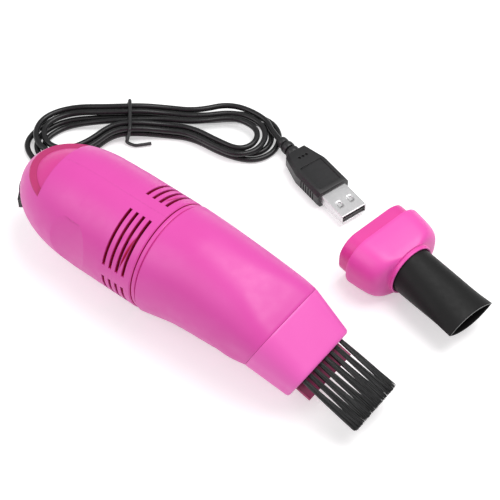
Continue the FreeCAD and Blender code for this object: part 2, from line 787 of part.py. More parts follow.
def barrel_wires(inset):
    """Sections of the barrel from its round back to the tilted oval of its mouth."""
    back_x = housing_length + part_gap + lip_length + lip_groove
    neck = mouth_place.multVec(Vector(-neck_length, 0, neck_rise))
    back_round = barrel_back_radius - section_flat
    mid_round = min(barrel_mid_half_width, barrel_mid_half_height) - section_flat
    fore_round = min(barrel_fore_half_width, barrel_fore_half_height) - section_flat
    stations = [(back_x, 0, 0, barrel_back_radius, barrel_back_radius, back_round),
                (barrel_mid_x, barrel_mid_rise, 0, barrel_mid_half_width, barrel_mid_half_height, mid_round),
                (barrel_fore_x, barrel_fore_rise, barrel_fore_tilt_deg, barrel_fore_half_width,
                 barrel_fore_half_height, fore_round),
                (neck.x, neck.z, neck_tilt_deg, neck_half_width, neck_half_height, neck_corner),
                (mouth_x, mouth_height, mouth_tilt_deg, mouth_half_width, mouth_half_height, mouth_corner)]
    columns = list(zip(*stations))
    wires = []
    for first, last in zip(columns[0], columns[0][1:]):
        for step in range(section_steps):
            at = first + (last - first) * step / section_steps
            x, rise, tilt_deg, width, height, corner = [blended(column, columns[0], at) for column in columns]
            wires.append(tilted(oval_wire(0, width - inset, height - inset, corner - inset),
                                tilt_placement(at, rise, tilt_deg)))
    wires.append(tilted(oval_wire(0, mouth_half_width - inset, mouth_half_height - inset,
                                  mouth_corner - inset), mouth_place))
    return wires


def make_barrel():
    back_x = housing_length + part_gap
    lip_end = back_x + lip_length
    body_start = lip_end + lip_groove
    body = loft(barrel_wires(0))
    hollow = loft(barrel_wires(barrel_wall))
    collar_inner = spigot_radius + slide_gap
    lip = ring_x(lip_radius, collar_inner, back_x, lip_end)
    groove = ring_x(barrel_back_radius - lip_groove_depth, collar_inner, lip_end - edge_break,
                    body_start + edge_break)
    liner = ring_x(barrel_back_radius - barrel_wall + edge_break, collar_inner, body_start,
                   back_x + barrel_collar_length)
    barrel = body.cut(hollow).fuse([lip, groove, liner])
    barrel = barrel.cut(cylinder_x(collar_inner, back_x - overrun, back_x + barrel_collar_length))
    add("dust_barrel", lifted(barrel.removeSplitter()))


def nozzle_tongue(inset):
    """Hollow oval tongue that slides into the mouth, in the mouth's own frame."""
    half_width = mouth_half_width - barrel_wall - slide_gap
    half_height = mouth_half_height - barrel_wall - slide_gap
    corner = mouth_corner - barrel_wall - slide_gap
    outer = oval_wire(-tongue_length, half_width - inset, half_height - inset, corner - inset)
    return Part.Face(outer).extrude(Vector(tongue_length + nozzle_wall, 0, 0))


def brush_frame(shape):
    """Turn a brush piece from the front plane's frame into the mouth's frame, with its small rise."""
    turned = shape.copy()
    turned.rotate(Vector(0, 0, 0), Vector(0, 1, 0), -brush_lift_deg)
    turned.translate(Vector(nozzle_length, 0, nozzle_front_rise))
    return turned


def nozzle_body(inset):
    edge_share = 1.0 - nozzle_edge / nozzle_length
    wires = [oval_wire(0, mouth_half_width - inset, mouth_half_height - inset, mouth_corner - inset)]
    near_half_width = mouth_half_width + (nozzle_front_half_width - mouth_half_width) * edge_share
    near_half_height = mouth_half_height + (nozzle_front_half_height - mouth_half_height) * edge_share
    near_corner = mouth_corner + (nozzle_front_corner - mouth_corner) * edge_share
    wires.append(oval_wire(nozzle_length - nozzle_edge, near_half_width - inset, near_half_height - inset,
                           near_corner - inset, nozzle_front_rise * edge_share))
    return Part.makeLoft(wires, True, True)


def nozzle_tip(inset):
    edge_share = 1.0 - nozzle_edge / nozzle_length
    near_half_width = mouth_half_width + (nozzle_front_half_width - mouth_half_width) * edge_share
    near_half_height = mouth_half_height + (nozzle_front_half_height - mouth_half_height) * edge_share
    near_corner = mouth_corner + (nozzle_front_corner - mouth_corner) * edge_share
    trim = nozzle_edge / 2.0
    wires = [oval_wire(nozzle_length - nozzle_edge, near_half_width - inset, near_half_height - inset,
                       near_corner - inset, nozzle_front_rise * edge_share)]
    wires.append(oval_wire(nozzle_length, nozzle_front_half_width - trim, nozzle_front_half_height - trim,
                           nozzle_front_corner - trim, nozzle_front_rise))
    return Part.makeLoft(wires, True, True)


def make_brush_nozzle():
    outer = nozzle_body(0).fuse(nozzle_tip(0))
    web = block(-overrun, nozzle_wall, -body_radius, body_radius, -body_radius, body_radius)
    hollow = nozzle_body(nozzle_wall).cut(web)
    front = oval_wire(nozzle_length - nozzle_edge - edge_break, nozzle_front_half_width - nozzle_wall,
                      nozzle_front_half_height - nozzle_wall, nozzle_front_corner - nozzle_wall,
                      nozzle_front_rise)
    mouth = Part.Face(front).extrude(Vector(overrun, 0, 0))
    tongue = nozzle_tongue(0)
    bore = Part.Face(oval_wire(-tongue_length - overrun,
                               mouth_half_width - barrel_wall - slide_gap - tongue_wall,
                               mouth_half_height - barrel_wall - slide_gap - tongue_wall,
                               mouth_corner - barrel_wall - slide_gap - tongue_wall))
    bore = bore.extrude(Vector(tongue_length + overrun + nozzle_wall + edge_break, 0, 0))
    nozzle = outer.cut(hollow).fuse(tongue).cut(bore).cut(mouth)
    add("nozzle_collar", lifted(bored(nozzle, mouth_place)))

    back = -holder_set_back - holder_depth
    plate = Part.Face(oval_wire(nozzle_length + back, nozzle_front_half_width, nozzle_front_half_height,
                                nozzle_front_corner, nozzle_front_rise))
    plate = plate.extrude(Vector(holder_depth, 0, 0)).common(nozzle_body(nozzle_wall + fit_gap))
    duct_low = duct_floor_height
    duct_high = duct_floor_height + duct_height
    duct = block(back - overrun, overrun, -duct_half_width, duct_half_width, duct_low, duct_high)
    lip_plate = block(back + edge_break, lip_plate_reach, -duct_half_width, duct_half_width,
                      duct_low - lip_plate_thickness, duct_low)
    holder = plate.cut(brush_frame(duct)).fuse(brush_frame(lip_plate))
    tufts = []
    holes = []
    for number in range(tuft_count):
        y = (number - (tuft_count - 1) / 2.0) * tuft_pitch
        foot = -holder_set_back - tuft_depth
        tuft = Part.makeCone(tuft_root_radius, tuft_tip_radius, tuft_length - foot,
                             Vector(foot, y, tuft_height), Vector(1, 0, 0))
        hole = cylinder_x(tuft_tip_radius, foot, overrun, y, tuft_height)
        tufts.append(brush_frame(tuft))
        holes.append(brush_frame(hole))
    holder = holder.cut(holes)
    add("brush_holder", lifted(bored(holder, mouth_place)))
    add("brush_tufts", lifted(bored(Part.makeCompound(tufts), mouth_place)))


def eye_wire(x, half_width, half_height):
    """Eye shape of two bows, each made of two arcs: round when both sizes are equal."""
    radius = (half_width ** 2 + half_height ** 2) / (2.0 * half_height)
    reach = math.asin(min(1.0, half_width / radius))
    side_y = radius * math.sin(reach / 2.0)
    side_z = radius * math.cos(reach / 2.0) - (radius - half_height)
    left = Vector(x, half_width, 0)
    right = Vector(x, -half_width, 0)
    top = Vector(x, 0, half_height)
    bottom = Vector(x, 0, -half_height)
    edges = [Part.Arc(right, Vector(x, -side_y, side_z), top).toShape(),
             Part.Arc(top, Vector(x, side_y, side_z), left).toShape(),
             Part.Arc(left, Vector(x, side_y, -side_z), bottom).toShape(),
             Part.Arc(bottom, Vector(x, -side_y, -side_z), right).toShape()]
    return Part.Wire(edges)


def make_spare():
    """Spare nozzle: the same tongue, a rounded collar and a soft tube that is pressed flat at its mouth."""
    place = yaw_placement(spare_x, spare_y, mouth_half_height, spare_yaw_deg)
    rim = tongue_length
    shoulder = rim + spare_collar_length * spare_shoulder_share
    face = rim + spare_collar_length
    wires = [oval_wire(rim, mouth_half_width, mouth_half_height, mouth_corner)]
    wires.append(oval_wire(shoulder, spare_shoulder_half_width, spare_shoulder_half_height,
                           spare_shoulder_corner))
    back_body = Part.makeLoft(wires, True, True)
    front_wires = [wires[1],
                   oval_wire(face, spare_face_half_width, spare_face_half_height, spare_face_corner)]
    front_body = Part.makeLoft(front_wires, True, True)
    tongue = nozzle_tongue(0)
    tongue.translate(Vector(tongue_length, 0, 0))
    lip = cylinder_x(spare_lip_radius, face - edge_break, face + spare_lip_length)
    collar = back_body.fuse([front_body, tongue, lip])
    throat_width = mouth_half_width - barrel_wall - slide_gap - tongue_wall
    throat_height = mouth_half_height - barrel_wall - slide_gap - tongue_wall
    throat_corner = mouth_corner - barrel_wall - slide_gap - tongue_wall
    hollow = Part.Face(oval_wire(-overrun, throat_width, throat_height, throat_corner))
    hollow = hollow.extrude(Vector(overrun + rim + nozzle_wall, 0, 0))
    root = face + spare_lip_length - tube_root_depth
    funnel_start = rim + nozzle_wall - edge_break
    funnel_wires = [oval_wire(funnel_start, throat_width, throat_height, throat_corner)]
    throat = tube_root_radius - tube_wall
    funnel_wires.append(oval_wire(root, throat, throat, throat - section_flat))
    funnel = Part.makeLoft(funnel_wires, True, True)
    socket = cylinder_x(tube_root_radius + fit_gap, root, face + overrun)
    collar = collar.cut(hollow).cut(funnel).cut(socket)
    add("spare_collar", bored(collar, place))
    end = face + spare_lip_length + tube_length
    middle = face + spare_lip_length + tube_length * tube_mid_share
    share = tube_mid_share
    mid_width = tube_root_radius + (tube_mouth_half_width - tube_root_radius) * share
    mid_height = tube_root_radius + (tube_mouth_half_height - tube_root_radius) * share
    straight_end = face + spare_lip_length
    solids = []
    for inset in (0, tube_wall):
        straight = cylinder_x(tube_root_radius - inset, root, straight_end)
        wires = [eye_wire(straight_end, tube_root_radius - inset, tube_root_radius - inset)]
        wires.append(eye_wire(middle, mid_width - inset, mid_height - inset))
        wires.append(eye_wire(end, tube_mouth_half_width - inset, tube_mouth_half_height - inset))
        solids.append(straight.fuse(loft(wires)))
    add("spare_tube", bored(solids[0].cut(solids[1]), place))


def arc_middle(start, tangent, end):
    """Middle point of the arc from start to end that leaves along the tangent, or None for a line."""
    chord = end - start
    length = chord.Length
    along = chord.normalize()
    side = tangent - along * tangent.dot(along)
    if side.Length < tiny_share:
        return None
    rise = length / 2.0 * side.Length / (1.0 + tangent.dot(along))
    return (start + end) * 0.5 + side.normalize() * rise


def arc_edge(start, middle, end):
    if middle is None:
        return Part.LineSegment(start, end).toShape()
    return Part.Arc(start, middle, end).toShape()


def biarc(start, start_way, end, end_way):
    """Two arcs that join two points and keep the direction at both and where they meet."""
    chord = end - start
    ways = start_way + end_way
    spread = 2.0 * (1.0 - start_way.dot(end_way))
    along = chord.dot(ways)
    if spread < tiny_share:
        reach = chord.dot(chord) / (4.0 * chord.dot(end_way))
    else:
        reach = (-along + math.sqrt(along * along + spread * chord.dot(chord))) / spread
    joint = (start + end + (start_way - end_way) * reach) * 0.5
    first = arc_edge(start, arc_middle(start, start_way, joint), joint)
    second = arc_edge(joint, arc_middle(end, end_way * -1.0, joint), end)
    return [first, second]


def hank_frame(along):
    """Point and direction of the hank's middle line, one long arc that bends to the right."""
    heading = math.radians(hank_heading_deg)
    turned = heading - along / hank_bend_radius
    x = hank_left_x + hank_bend_radius * (math.sin(heading) - math.sin(turned))
    y = hank_left_y + hank_bend_radius * (math.cos(turned) - math.cos(heading))
    return Vector(x, y, 0), turned


def hank_point(along, aside, height):
    point, heading = hank_frame(along)
    normal = Vector(-math.sin(heading), math.cos(heading), 0)
    spot = point + normal * aside
    return Vector(spot.x, spot.y, height), Vector(math.cos(heading), math.sin(heading), 0)


def fold_point(fold, aside, height, forward):
    """Point beside a fold's own middle, in the direction to which the fold is turned."""
    along, fold_aside, turn_deg = fold
    middle, way = hank_point(along, fold_aside, height)
    heading = math.atan2(way.y, way.x) + math.radians(turn_deg)
    turned = Vector(math.cos(heading), math.sin(heading), 0)
    normal = Vector(-math.sin(heading), math.cos(heading), 0)
    return middle + normal * aside + turned * forward, turned


def hank_path():
    """Runs and folds of the hank: in on the lower layer, up along the innermost run, and out above it."""
    heights = [cord_radius, cord_radius + layer_step]
    lift = 2.0 * tie_radius + part_gap
    turning = (hank_runs + 1) // 2
    outer = hank_fold_radius + (2.0 * turning - 3.0) * hank_pitch / 4.0
    waist = (turning - 0.5) * hank_waist_pitch / 2.0
    runs = []
    for run in range(1, hank_runs + 1):
        rank = run - 1 if run <= turning else hank_runs - run
        side = 1 if run % 2 == 1 else -1
        aside = side * (outer - rank * hank_pitch / 2.0)
        slot = side * (waist - rank * hank_waist_pitch / 2.0)
        before = 0 if run <= turning else 1
        after = 0 if run < turning else 1
        left_layer = before if side > 0 else after
        right_layer = after if side > 0 else before
        forward = hank_start if run == 1 else 0
        backward = hank_finish if run == hank_runs else 0
        left = fold_point(left_folds[left_layer], aside, heights[left_layer], forward)
        right = fold_point(right_folds[right_layer], aside, heights[right_layer], -backward)
        height = (heights[before] + heights[after]) / 2.0 + lift
        tied = hank_point(hank_waist_along, hank_waist_aside + slot, height)
        held = hank_point(hank_hold_along, hank_hold_aside + slot, heights[right_layer])
        stops = [left, tied, held, right]
        if side < 0:
            stops = [(point, way * -1.0) for point, way in reversed(stops)]
        runs.append(stops)
    edges = []
    for number, stops in enumerate(runs):
        for (start, start_way), (end, end_way) in zip(stops, stops[1:]):
            edges.extend(biarc(start, start_way, end, end_way))
        if number + 1 < len(runs):
            end, end_way = stops[-1]
            following, following_way = runs[number + 1][0]
            edges.extend(biarc(end, end_way, following, following_way))
    return edges, runs


def tube_along(edges, radius, start, way):
    path = Part.Wire(Part.__sortEdges__(edges))
    circle = Part.Wire([Part.makeCircle(radius, start, way)])
    tube = path.makePipeShell([circle], True, False)
    return tube, path


def route_edges(points):
    """Straight runs joined by tangent arcs, each as large as its two runs allow."""
    edges = []
    radii = []
    start = points[0]
    for before, corner, after in zip(points, points[1:], points[2:]):
        way_in = (corner - before).normalize()
        way_out = (after - corner).normalize()
        shorter = min((corner - before).Length, (after - corner).Length)
        half = way_in.getAngle(way_out) / 2.0
        radius = route_share * shorter / math.tan(half)
        cut = route_share * shorter
        first = corner - way_in * cut
        last = corner + way_out * cut
        bisector = (way_out - way_in).normalize()
        middle = corner + bisector * (radius / math.cos(half) - radius)
        edges.append(Part.LineSegment(start, first).toShape())
        edges.append(Part.Arc(first, middle, last).toShape())
        radii.append(radius)
        start = last
    edges.append(Part.LineSegment(start, points[-1]).toShape())
    return edges, radii


def check_tube(name, tube, path, radius):
    expected = math.pi * radius ** 2 * path.Length
    print(name, "length %.1f" % path.Length, "volume share %.4f" % (tube.Volume / expected))


def least_gap(edges):
    """Least free space between stretches of the hank that aren't next to each other on the cord."""
    spots = []
    lengths = []
    walked = 0.0
    for edge in edges:
        count = max(2, int(edge.Length / (cord_radius / 2.0)) + 1)
        pieces = edge.discretize(Number=count + 1)
        for point in pieces[:-1]:
            spots.append(point)
            lengths.append(walked)
            walked = walked + edge.Length / count
    least = 1e9
    for i in range(len(spots)):
        for j in range(i + 1, len(spots)):
            if lengths[j] - lengths[i] > skip_length:
                distance = (spots[i] - spots[j]).Length
                if distance < least:
                    least = distance
    return least - cord_diameter


def make_cord():
    edges, runs = hank_path()
    start, start_way = runs[0][0]
    finish, finish_way = runs[-1][-1]
    hank, path = tube_along(edges, cord_radius, start, start_way)
    check_tube("cord_hank", hank, path, cord_radius)
    print("cord_hank least gap to itself %.2f" % least_gap(edges))
    print("cord_hank least radius %.2f" % min(edge.Curve.Radius for edge in edges))
    add_cord("cord_hank", hank)
    lead = [gland_end, gland_end + gland_way * lead_drop]
    lead.extend(Vector(x, y, cord_radius) for x, y in lead_points)
    lead.extend([start - start_way * lead_last_run, start])
    plug_way = Vector(math.cos(math.radians(plug_yaw_deg)), math.sin(math.radians(plug_yaw_deg)), 0)
    relief_end = (Vector(plug_x, plug_y, plug_height / 2.0)
                  - plug_way * (plug_length + relief_length))
    tail = [finish, finish + finish_way * tail_first_run, relief_end - plug_way * tail_last_run, relief_end]
    for name, points in (("cord_lead", lead), ("cord_tail", tail)):
        route, radii = route_edges(points)
        tube, path = tube_along(route, cord_radius, points[0], (points[1] - points[0]).normalize())
        check_tube(name, tube, path, cord_radius)
        print(name, "radii", " ".join("%.1f" % r for r in radii))
        print(name, "points", [tuple(round(v, 2) for v in p) for p in points])
        add_cord(name, tube)


def make_gland():
    """Rubber gland through the tail's wall, with a flange inside and a bore that grips the cord."""
    sleeve_start = gland_point - gland_way * gland_depth
    sleeve = Part.makeCylinder(gland_radius - fit_gap, gland_depth, sleeve_start, gland_way)
    nose = Part.makeCone(gland_radius - fit_gap, cord_radius + gland_flange, gland_length, gland_point,
                         gland_way)
    flange = Part.makeCylinder(gland_radius + gland_flange, gland_flange,
                               sleeve_start - gland_way * gland_flange, gland_way)
    add("cord_grommet", sleeve.fuse([nose, flange]))


def make_tie():
    """Wrap round the hank's waist, and its twisted end that lies on the desk."""
    turning = (hank_runs + 1) // 2
    waist = (turning - 0.5) * hank_waist_pitch / 2.0
    far_side = waist + cord_radius
    near_side = waist - hank_waist_pitch / 2.0 + cord_radius
    middle, way = hank_point(hank_waist_along, hank_waist_aside + (far_side - near_side) / 2.0, 0)
    heading_deg = math.degrees(math.atan2(way.y, way.x))
    lift = 2.0 * tie_radius + part_gap
    top = lift + layer_step + cord_diameter + part_gap + tie_radius
    low = tie_radius
    half_width = (far_side + near_side) / 2.0 + part_gap + tie_radius
    half_height = (top - low) / 2.0
    ring_path = oval_wire(0, half_width, half_height, tie_corner)
    circle = Part.Wire([Part.makeCircle(tie_radius, Vector(0, -half_width + tie_corner, half_height),
                                        Vector(0, 1, 0))])
    ring = ring_path.makePipeShell([circle], True, False)
    floor = -half_height
    foot = Vector(0, tie_corner - half_width, floor)
    bend = Vector(tie_end_corner_x, -half_width - tie_end_corner_out, floor)
    tip = Vector(tie_end_tip_x, -half_width - tie_end_tip_out, floor)
    end_edges, radii = route_edges([foot, bend, tip])
    end, path = tube_along(end_edges, tie_radius, foot, (bend - foot).normalize())
    tie = ring.fuse(end)
    place = yaw_placement(middle.x, middle.y, (top + low) / 2.0, heading_deg)
    add_cord("cord_tie", bored(tie, place))


def make_plug():
    place = yaw_placement(plug_x, plug_y, plug_height / 2.0, plug_yaw_deg)
    half = plug_height / 2.0
    straight = -(plug_length - plug_taper_length)
    wires = [oval_wire(0, plug_half_width, half, plug_corner),
             oval_wire(straight, plug_half_width, half, plug_corner)]
    body = Part.makeLoft(wires, True, True)
    taper_wires = [wires[1],
                   oval_wire(-plug_length, plug_back_half_width, plug_back_height / 2.0, plug_corner)]
    body = body.fuse(Part.makeLoft(taper_wires, True, True))
    pocket = block(-shell_depth, overrun, -shell_width / 2.0, shell_width / 2.0, -shell_height / 2.0,
                   shell_height / 2.0)
    add_cord("plug_overmould", bored(body.cut(pocket), place))
    relief = Part.makeCone(relief_tip_radius, relief_root_radius, relief_length,
                           Vector(-plug_length - relief_length, 0, 0), Vector(1, 0, 0))
    ring_gap = relief_length / (2.0 * relief_ring_count + 1.0)
    grooves = []
    for number in range(relief_ring_count):
        start = -plug_length - relief_length + ring_gap * (2.0 * number + 1.0)
        share = (start + ring_gap / 2.0 + plug_length + relief_length) / relief_length
        radius = relief_tip_radius + (relief_root_radius - relief_tip_radius) * share
        grooves.append(ring_x(relief_root_radius + overrun, radius - relief_ring_depth, start,
                              start + ring_gap))
    add_cord("plug_strain_relief", bored(relief.cut(grooves), place))
    shell = block(-shell_depth, shell_length, -shell_width / 2.0, shell_width / 2.0, -shell_height / 2.0,
                  shell_height / 2.0)
    hollow = block(-shell_depth + shell_wall, shell_length + overrun, -shell_width / 2.0 + shell_wall,
                   shell_width / 2.0 - shell_wall, -shell_height / 2.0 + shell_wall,
                   shell_height / 2.0 - shell_wall)
    shell = shell.cut(hollow)
    for side in (1, -1):
        hole = block(shell_hole_back, shell_hole_back + shell_hole,
                     side * shell_hole_offset - shell_hole / 2.0, side * shell_hole_offset + shell_hole / 2.0,
                     -shell_height, shell_height)
        shell = shell.cut(hole)
    add_cord("plug_shell", bored(shell, place))
    low = -shell_height / 2.0 + shell_wall
    insulator = block(-shell_depth + shell_wall, shell_length - insulator_set_back, -insulator_width / 2.0,
                      insulator_width / 2.0, low, low + insulator_thickness)
    add_cord("plug_insulator", bored(insulator, place))
    contacts = []
    for number in range(contact_count):
        y = (number - (contact_count - 1) / 2.0) * contact_pitch
        contacts.append(block(shell_length - insulator_set_back - contact_length,
                              shell_length - 2.0 * insulator_set_back, y - contact_width / 2.0,
                              y + contact_width / 2.0, low + insulator_thickness,
                              low + insulator_thickness + contact_thickness))
    add_cord("plug_contacts", bored(Part.makeCompound(contacts), place))


def make_wires():
    """Red wire from one motor terminal to the switch, black wire from the other to the cord's gland."""
    start_x = motor_back_x - cap_flange - terminal_length / 2.0
    aside = terminal_offset + terminal_thickness / 2.0 + wire_radius
    switch_back = Vector(-switch_case_depth, 0, 0)
    switch_before = Vector(-switch_case_depth - wire_run, 0, 0)
    red = [Vector(start_x, -aside, 0), Vector(wire_bend_x, -aside, 0), switch_place.multVec(switch_before),
           switch_place.multVec(switch_back)]
    drop = Vector(0, 0, -body_radius)
    inside = gland_point - gland_way * (gland_depth + gland_flange) + drop
    black = [Vector(start_x, aside, 0), Vector(wire_bend_x, aside, 0), inside - gland_way * wire_run, inside]
    for name, points in (("lead_wire_red", red), ("lead_wire_black", black)):
        edges, radii = route_edges(points)
        tube, path = tube_along(edges, wire_radius, points[0], (points[1] - points[0]).normalize())
        print(name, "radii", " ".join("%.1f" % r for r in radii))
        add(name, lifted(tube))


make_housing()
make_switch()
make_motor()
make_bulkhead()
make_fan()
make_cover()
make_filter()
make_barrel()
make_brush_nozzle()
make_spare()
make_wires()
make_gland()
make_cord()
make_tie()
make_plug()

# The origin lies on the desk, under the middle of everything but the cord and its plug
boxes = [shapes[name].optimalBoundingBox(False) for name in shapes if name not in cord_names]
middle_x = (min(box.XMin for box in boxes) + max(box.XMax for box in boxes)) / 2.0
middle_y = (min(box.YMin for box in boxes) + max(box.YMax for box in boxes)) / 2.0
print("tail tip at x %.4f, main axis at y %.4f" % (-middle_x, -middle_y))
print("lowest", min(box.ZMin for box in boxes))

os.makedirs("parts", exist_ok=True)
for name, shape in shapes.items():
    shape.translate(Vector(-middle_x, -middle_y, 0))
    valid = shape.isValid()
    print(name, "solids", len(shape.Solids), "valid", valid, "volume %.1f" % shape.Volume)
    shape.exportStep("parts/" + name + ".step")
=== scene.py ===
# %% [markdown]
# A small pink vacuum cleaner for desks lies on its belly, with its brush to the right. A spare nozzle
# lies beside it, and its cord is folded in a hank behind it. The construction model is loaded as a fixed
# frame: it holds every part at its true size, on its joints. This lesson lays finer surfaces and finishes
# over that frame and leaves the frame's own shapes alone.

import json
import math

import bmesh
import bpy
import numpy as np
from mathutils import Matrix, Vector

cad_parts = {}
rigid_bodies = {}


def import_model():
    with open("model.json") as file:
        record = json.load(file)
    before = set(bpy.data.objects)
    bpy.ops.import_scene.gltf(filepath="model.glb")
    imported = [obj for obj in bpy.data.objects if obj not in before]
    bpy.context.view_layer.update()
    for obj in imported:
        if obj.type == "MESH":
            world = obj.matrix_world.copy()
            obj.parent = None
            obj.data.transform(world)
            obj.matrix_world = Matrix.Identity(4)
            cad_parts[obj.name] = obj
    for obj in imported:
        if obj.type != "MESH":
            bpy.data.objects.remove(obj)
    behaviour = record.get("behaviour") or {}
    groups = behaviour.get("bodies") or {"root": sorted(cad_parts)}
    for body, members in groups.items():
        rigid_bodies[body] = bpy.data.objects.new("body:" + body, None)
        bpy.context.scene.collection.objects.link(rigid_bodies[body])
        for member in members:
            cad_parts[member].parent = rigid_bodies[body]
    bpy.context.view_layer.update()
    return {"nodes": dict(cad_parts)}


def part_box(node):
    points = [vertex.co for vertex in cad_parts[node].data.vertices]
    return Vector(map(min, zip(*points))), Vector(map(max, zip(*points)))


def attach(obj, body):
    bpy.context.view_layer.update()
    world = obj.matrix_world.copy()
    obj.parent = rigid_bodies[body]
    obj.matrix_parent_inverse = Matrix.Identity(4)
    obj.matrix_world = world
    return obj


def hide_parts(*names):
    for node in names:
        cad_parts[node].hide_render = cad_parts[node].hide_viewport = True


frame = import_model()
NODES = frame["nodes"]
print("frame holds", len(NODES), "nodes")

# %% [markdown]
# All shapes are worked out in millimetres in a working frame: the tail's tip is at x 0, the long axis runs
# over y 0, and the desk is z 0. Two nodes of the frame say where that working frame lies. Blender counts in
# metres, so one function changes the points, and no piece is ever moved, turned or scaled.

# %% Working frame
MM = 0.001
TAIL_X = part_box("rear_housing_left")[0][0]
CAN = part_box("motor_can")
AXIS_Y = (CAN[0][1] + CAN[1][1]) / 2
BODY_RADIUS = 22.6
AXIS_HEIGHT = BODY_RADIUS


def in_metres(points):
    """Millimetres in the working frame become metres in the row's frame: p * 0.001 + offset."""
    return np.asarray(points, float) * MM + np.array([TAIL_X, AXIS_Y, 0.0])


def turned(points, axis, degrees):
    """Points turned about the Y axis ("y", nose down is positive) or the Z axis ("z")."""
    p = np.asarray(points, float)
    c, s = math.cos(math.radians(degrees)), math.sin(math.radians(degrees))
    x, y, z = p[..., 0], p[..., 1], p[..., 2]
    if axis == "y":
        return np.stack([c * x + s * z, y, c * z - s * x], -1)
    return np.stack([c * x - s * y, s * x + c * y, z], -1)


print("tail tip at", round(TAIL_X, 5), "axis at", round(AXIS_Y, 5))

# %% [markdown]
# The camera looks from high on the right, 52 degrees down, as the photograph does. Its place was worked out
# from the known width of the plug's metal shell. Three angles could turn it too, but a place to look at is
# easier to read, and the lamps are aimed by the same function.

# %% Camera
CAMERA_AT = (325.4, -274.1, 502.7)
LOOK_AT = (81.5, 34.9, 0.0)
FIELD_OF_VIEW = 17.504
NEAREST, FARTHEST = 0.01, 10

camera = bpy.data.objects.new("camera", bpy.data.cameras.new("camera"))
bpy.context.scene.collection.objects.link(camera)
bpy.context.scene.camera = camera
camera.data.angle = math.radians(FIELD_OF_VIEW)
camera.data.clip_start = NEAREST
camera.data.clip_end = FARTHEST


def aim(thing, place, target):
    """Put a camera or lamp at a place and turn it so that its -Z axis points at the target."""
    start, end = Vector(in_metres(place)), Vector(in_metres(target))
    thing.location = start
    thing.rotation_euler = (end - start).to_track_quat("-Z", "Y").to_euler()


aim(camera, CAMERA_AT, LOOK_AT)
print("camera is", round(math.dist(CAMERA_AT, LOOK_AT)), "mm away")

# %% [markdown]
# Each moulded piece is one closed skin. It could be cut out of solids, but a grid of points gives even faces
# that shade well. The grid closes round one way. The other way it closes too, so that the skin has an
# outside, a rim and an inside, or its two ends get caps, or they stay open for a thin sheet.

# %% Skins from grids
EDGE_ANGLE = 38.0
WELD_DISTANCE = 1e-7


def new_object(name, mesh, body="cleaner", sharp=EDGE_ANGLE):
    """Link a mesh as a smooth object that keeps hard edges over an angle, and ride it on a body."""
    mesh.validate()
    mesh.shade_smooth()
    mesh.set_sharp_from_angle(angle=math.radians(sharp))
    piece = bpy.data.objects.new(name, mesh)
    bpy.context.scene.collection.objects.link(piece)
    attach(piece, body)
    return piece


def outward(mesh):
    """Weld doubles and make every face point out of the closed shape."""
    work = bmesh.new()
    work.from_mesh(mesh)
    bmesh.ops.remove_doubles(work, verts=work.verts, dist=WELD_DISTANCE)
    bmesh.ops.recalc_face_normals(work, faces=work.faces)
    work.to_mesh(mesh)
    work.free()


def grid_quads(rows, columns, close_rows=False):
    """Quads (rows, columns, 4) whose columns close round: vertex (i, j) has number i * columns + j."""
    i = np.arange(rows if close_rows else rows - 1)[:, None]
    j = np.arange(columns)[None, :]
    i2, j2 = (i + 1) % rows, (j + 1) % columns
    return np.stack([i * columns + j, i * columns + j2, i2 * columns + j2, i2 * columns + j], -1)


def grid_mesh(name, grid, close_rows=False, cap=False, keep=None):
    """Skin over a grid of points (rows, columns, 3); keep names the quads that stay, cap closes the ends."""
    rows, columns, _ = grid.shape
    quads = grid_quads(rows, columns, close_rows)
    faces = (quads.reshape(-1, 4) if keep is None else quads[keep]).tolist()
    if cap:
        faces.append(list(range(columns))[::-1])
        faces.append(list(range((rows - 1) * columns, rows * columns)))
    mesh = bpy.data.meshes.new(name)
    mesh.from_pydata(in_metres(grid.reshape(-1, 3)).tolist(), [], faces)
    outward(mesh)
    return mesh


print("skin helpers ready")

# %% [markdown]
# A skin is a row of sections along a line, each lifted and tilted as the piece needs. One outline serves
# nearly all of them: a rounded rectangle, which is a circle when its corners are as large as its half sizes.


# %% Sections
def oval(half_width, half_height, corner, per_corner=14, per_side=6):
    """Rounded rectangle as (n, 2) points: corner centres (w-c, h-c) plus c (cos a, sin a), sides between."""
    w, h = half_width, half_height
    c = min(corner, w, h)
    angle = np.radians(np.linspace(0, 90, per_corner))
    share = np.linspace(0, 1, per_side + 2)[1:-1, None]
    arcs = []
    for k, (sy, sz) in enumerate(((1, 1), (-1, 1), (-1, -1), (1, -1))):
        a = angle + k * math.pi / 2
        arcs.append(np.stack([sy * (w - c) + c * np.cos(a), sz * (h - c) + c * np.sin(a)], -1))
    parts = []
    for k in range(4):
        after = arcs[(k + 1) % 4][0]
        parts += [arcs[k], arcs[k][-1] + (after - arcs[k][-1]) * share]
    return np.concatenate(parts)


def rings(table, outline=oval, **counts):
    """Grid of sections: a row (x, rise, tilt, sizes) puts its outline at x, lifted by rise and tilted."""
    grid = []
    for x, rise, tilt, *sizes in table:
        flat = outline(*sizes, **counts)
        section = np.column_stack([np.zeros(len(flat)), flat])
        grid.append(turned(section, "y", tilt) + [x, 0, rise])
    return np.array(grid)


def round_rows(profile, rise=0):
    """Rows for a turned piece from its (x, radius) profile: a circle is an oval with w = h = c."""
    return [(x, rise, 0, r, r, r) for x, r in profile]


print("an oval has", len(oval(2.0, 1.0, 0.5)), "points round")

# %% [markdown]
# Finishes are made of shader nodes, with no picture file. Their patterns read Object coordinates, which are
# metres in the frame, because every object sits at the origin. These short functions keep the node trees
# readable.


# %% Shader node helpers
def node_of(tree, kind, **values):
    """Add a shader node and set its sockets by name."""
    node = tree.nodes.new(kind)
    for name, value in values.items():
        node.inputs[name.replace("_", " ")].default_value = value
    return node


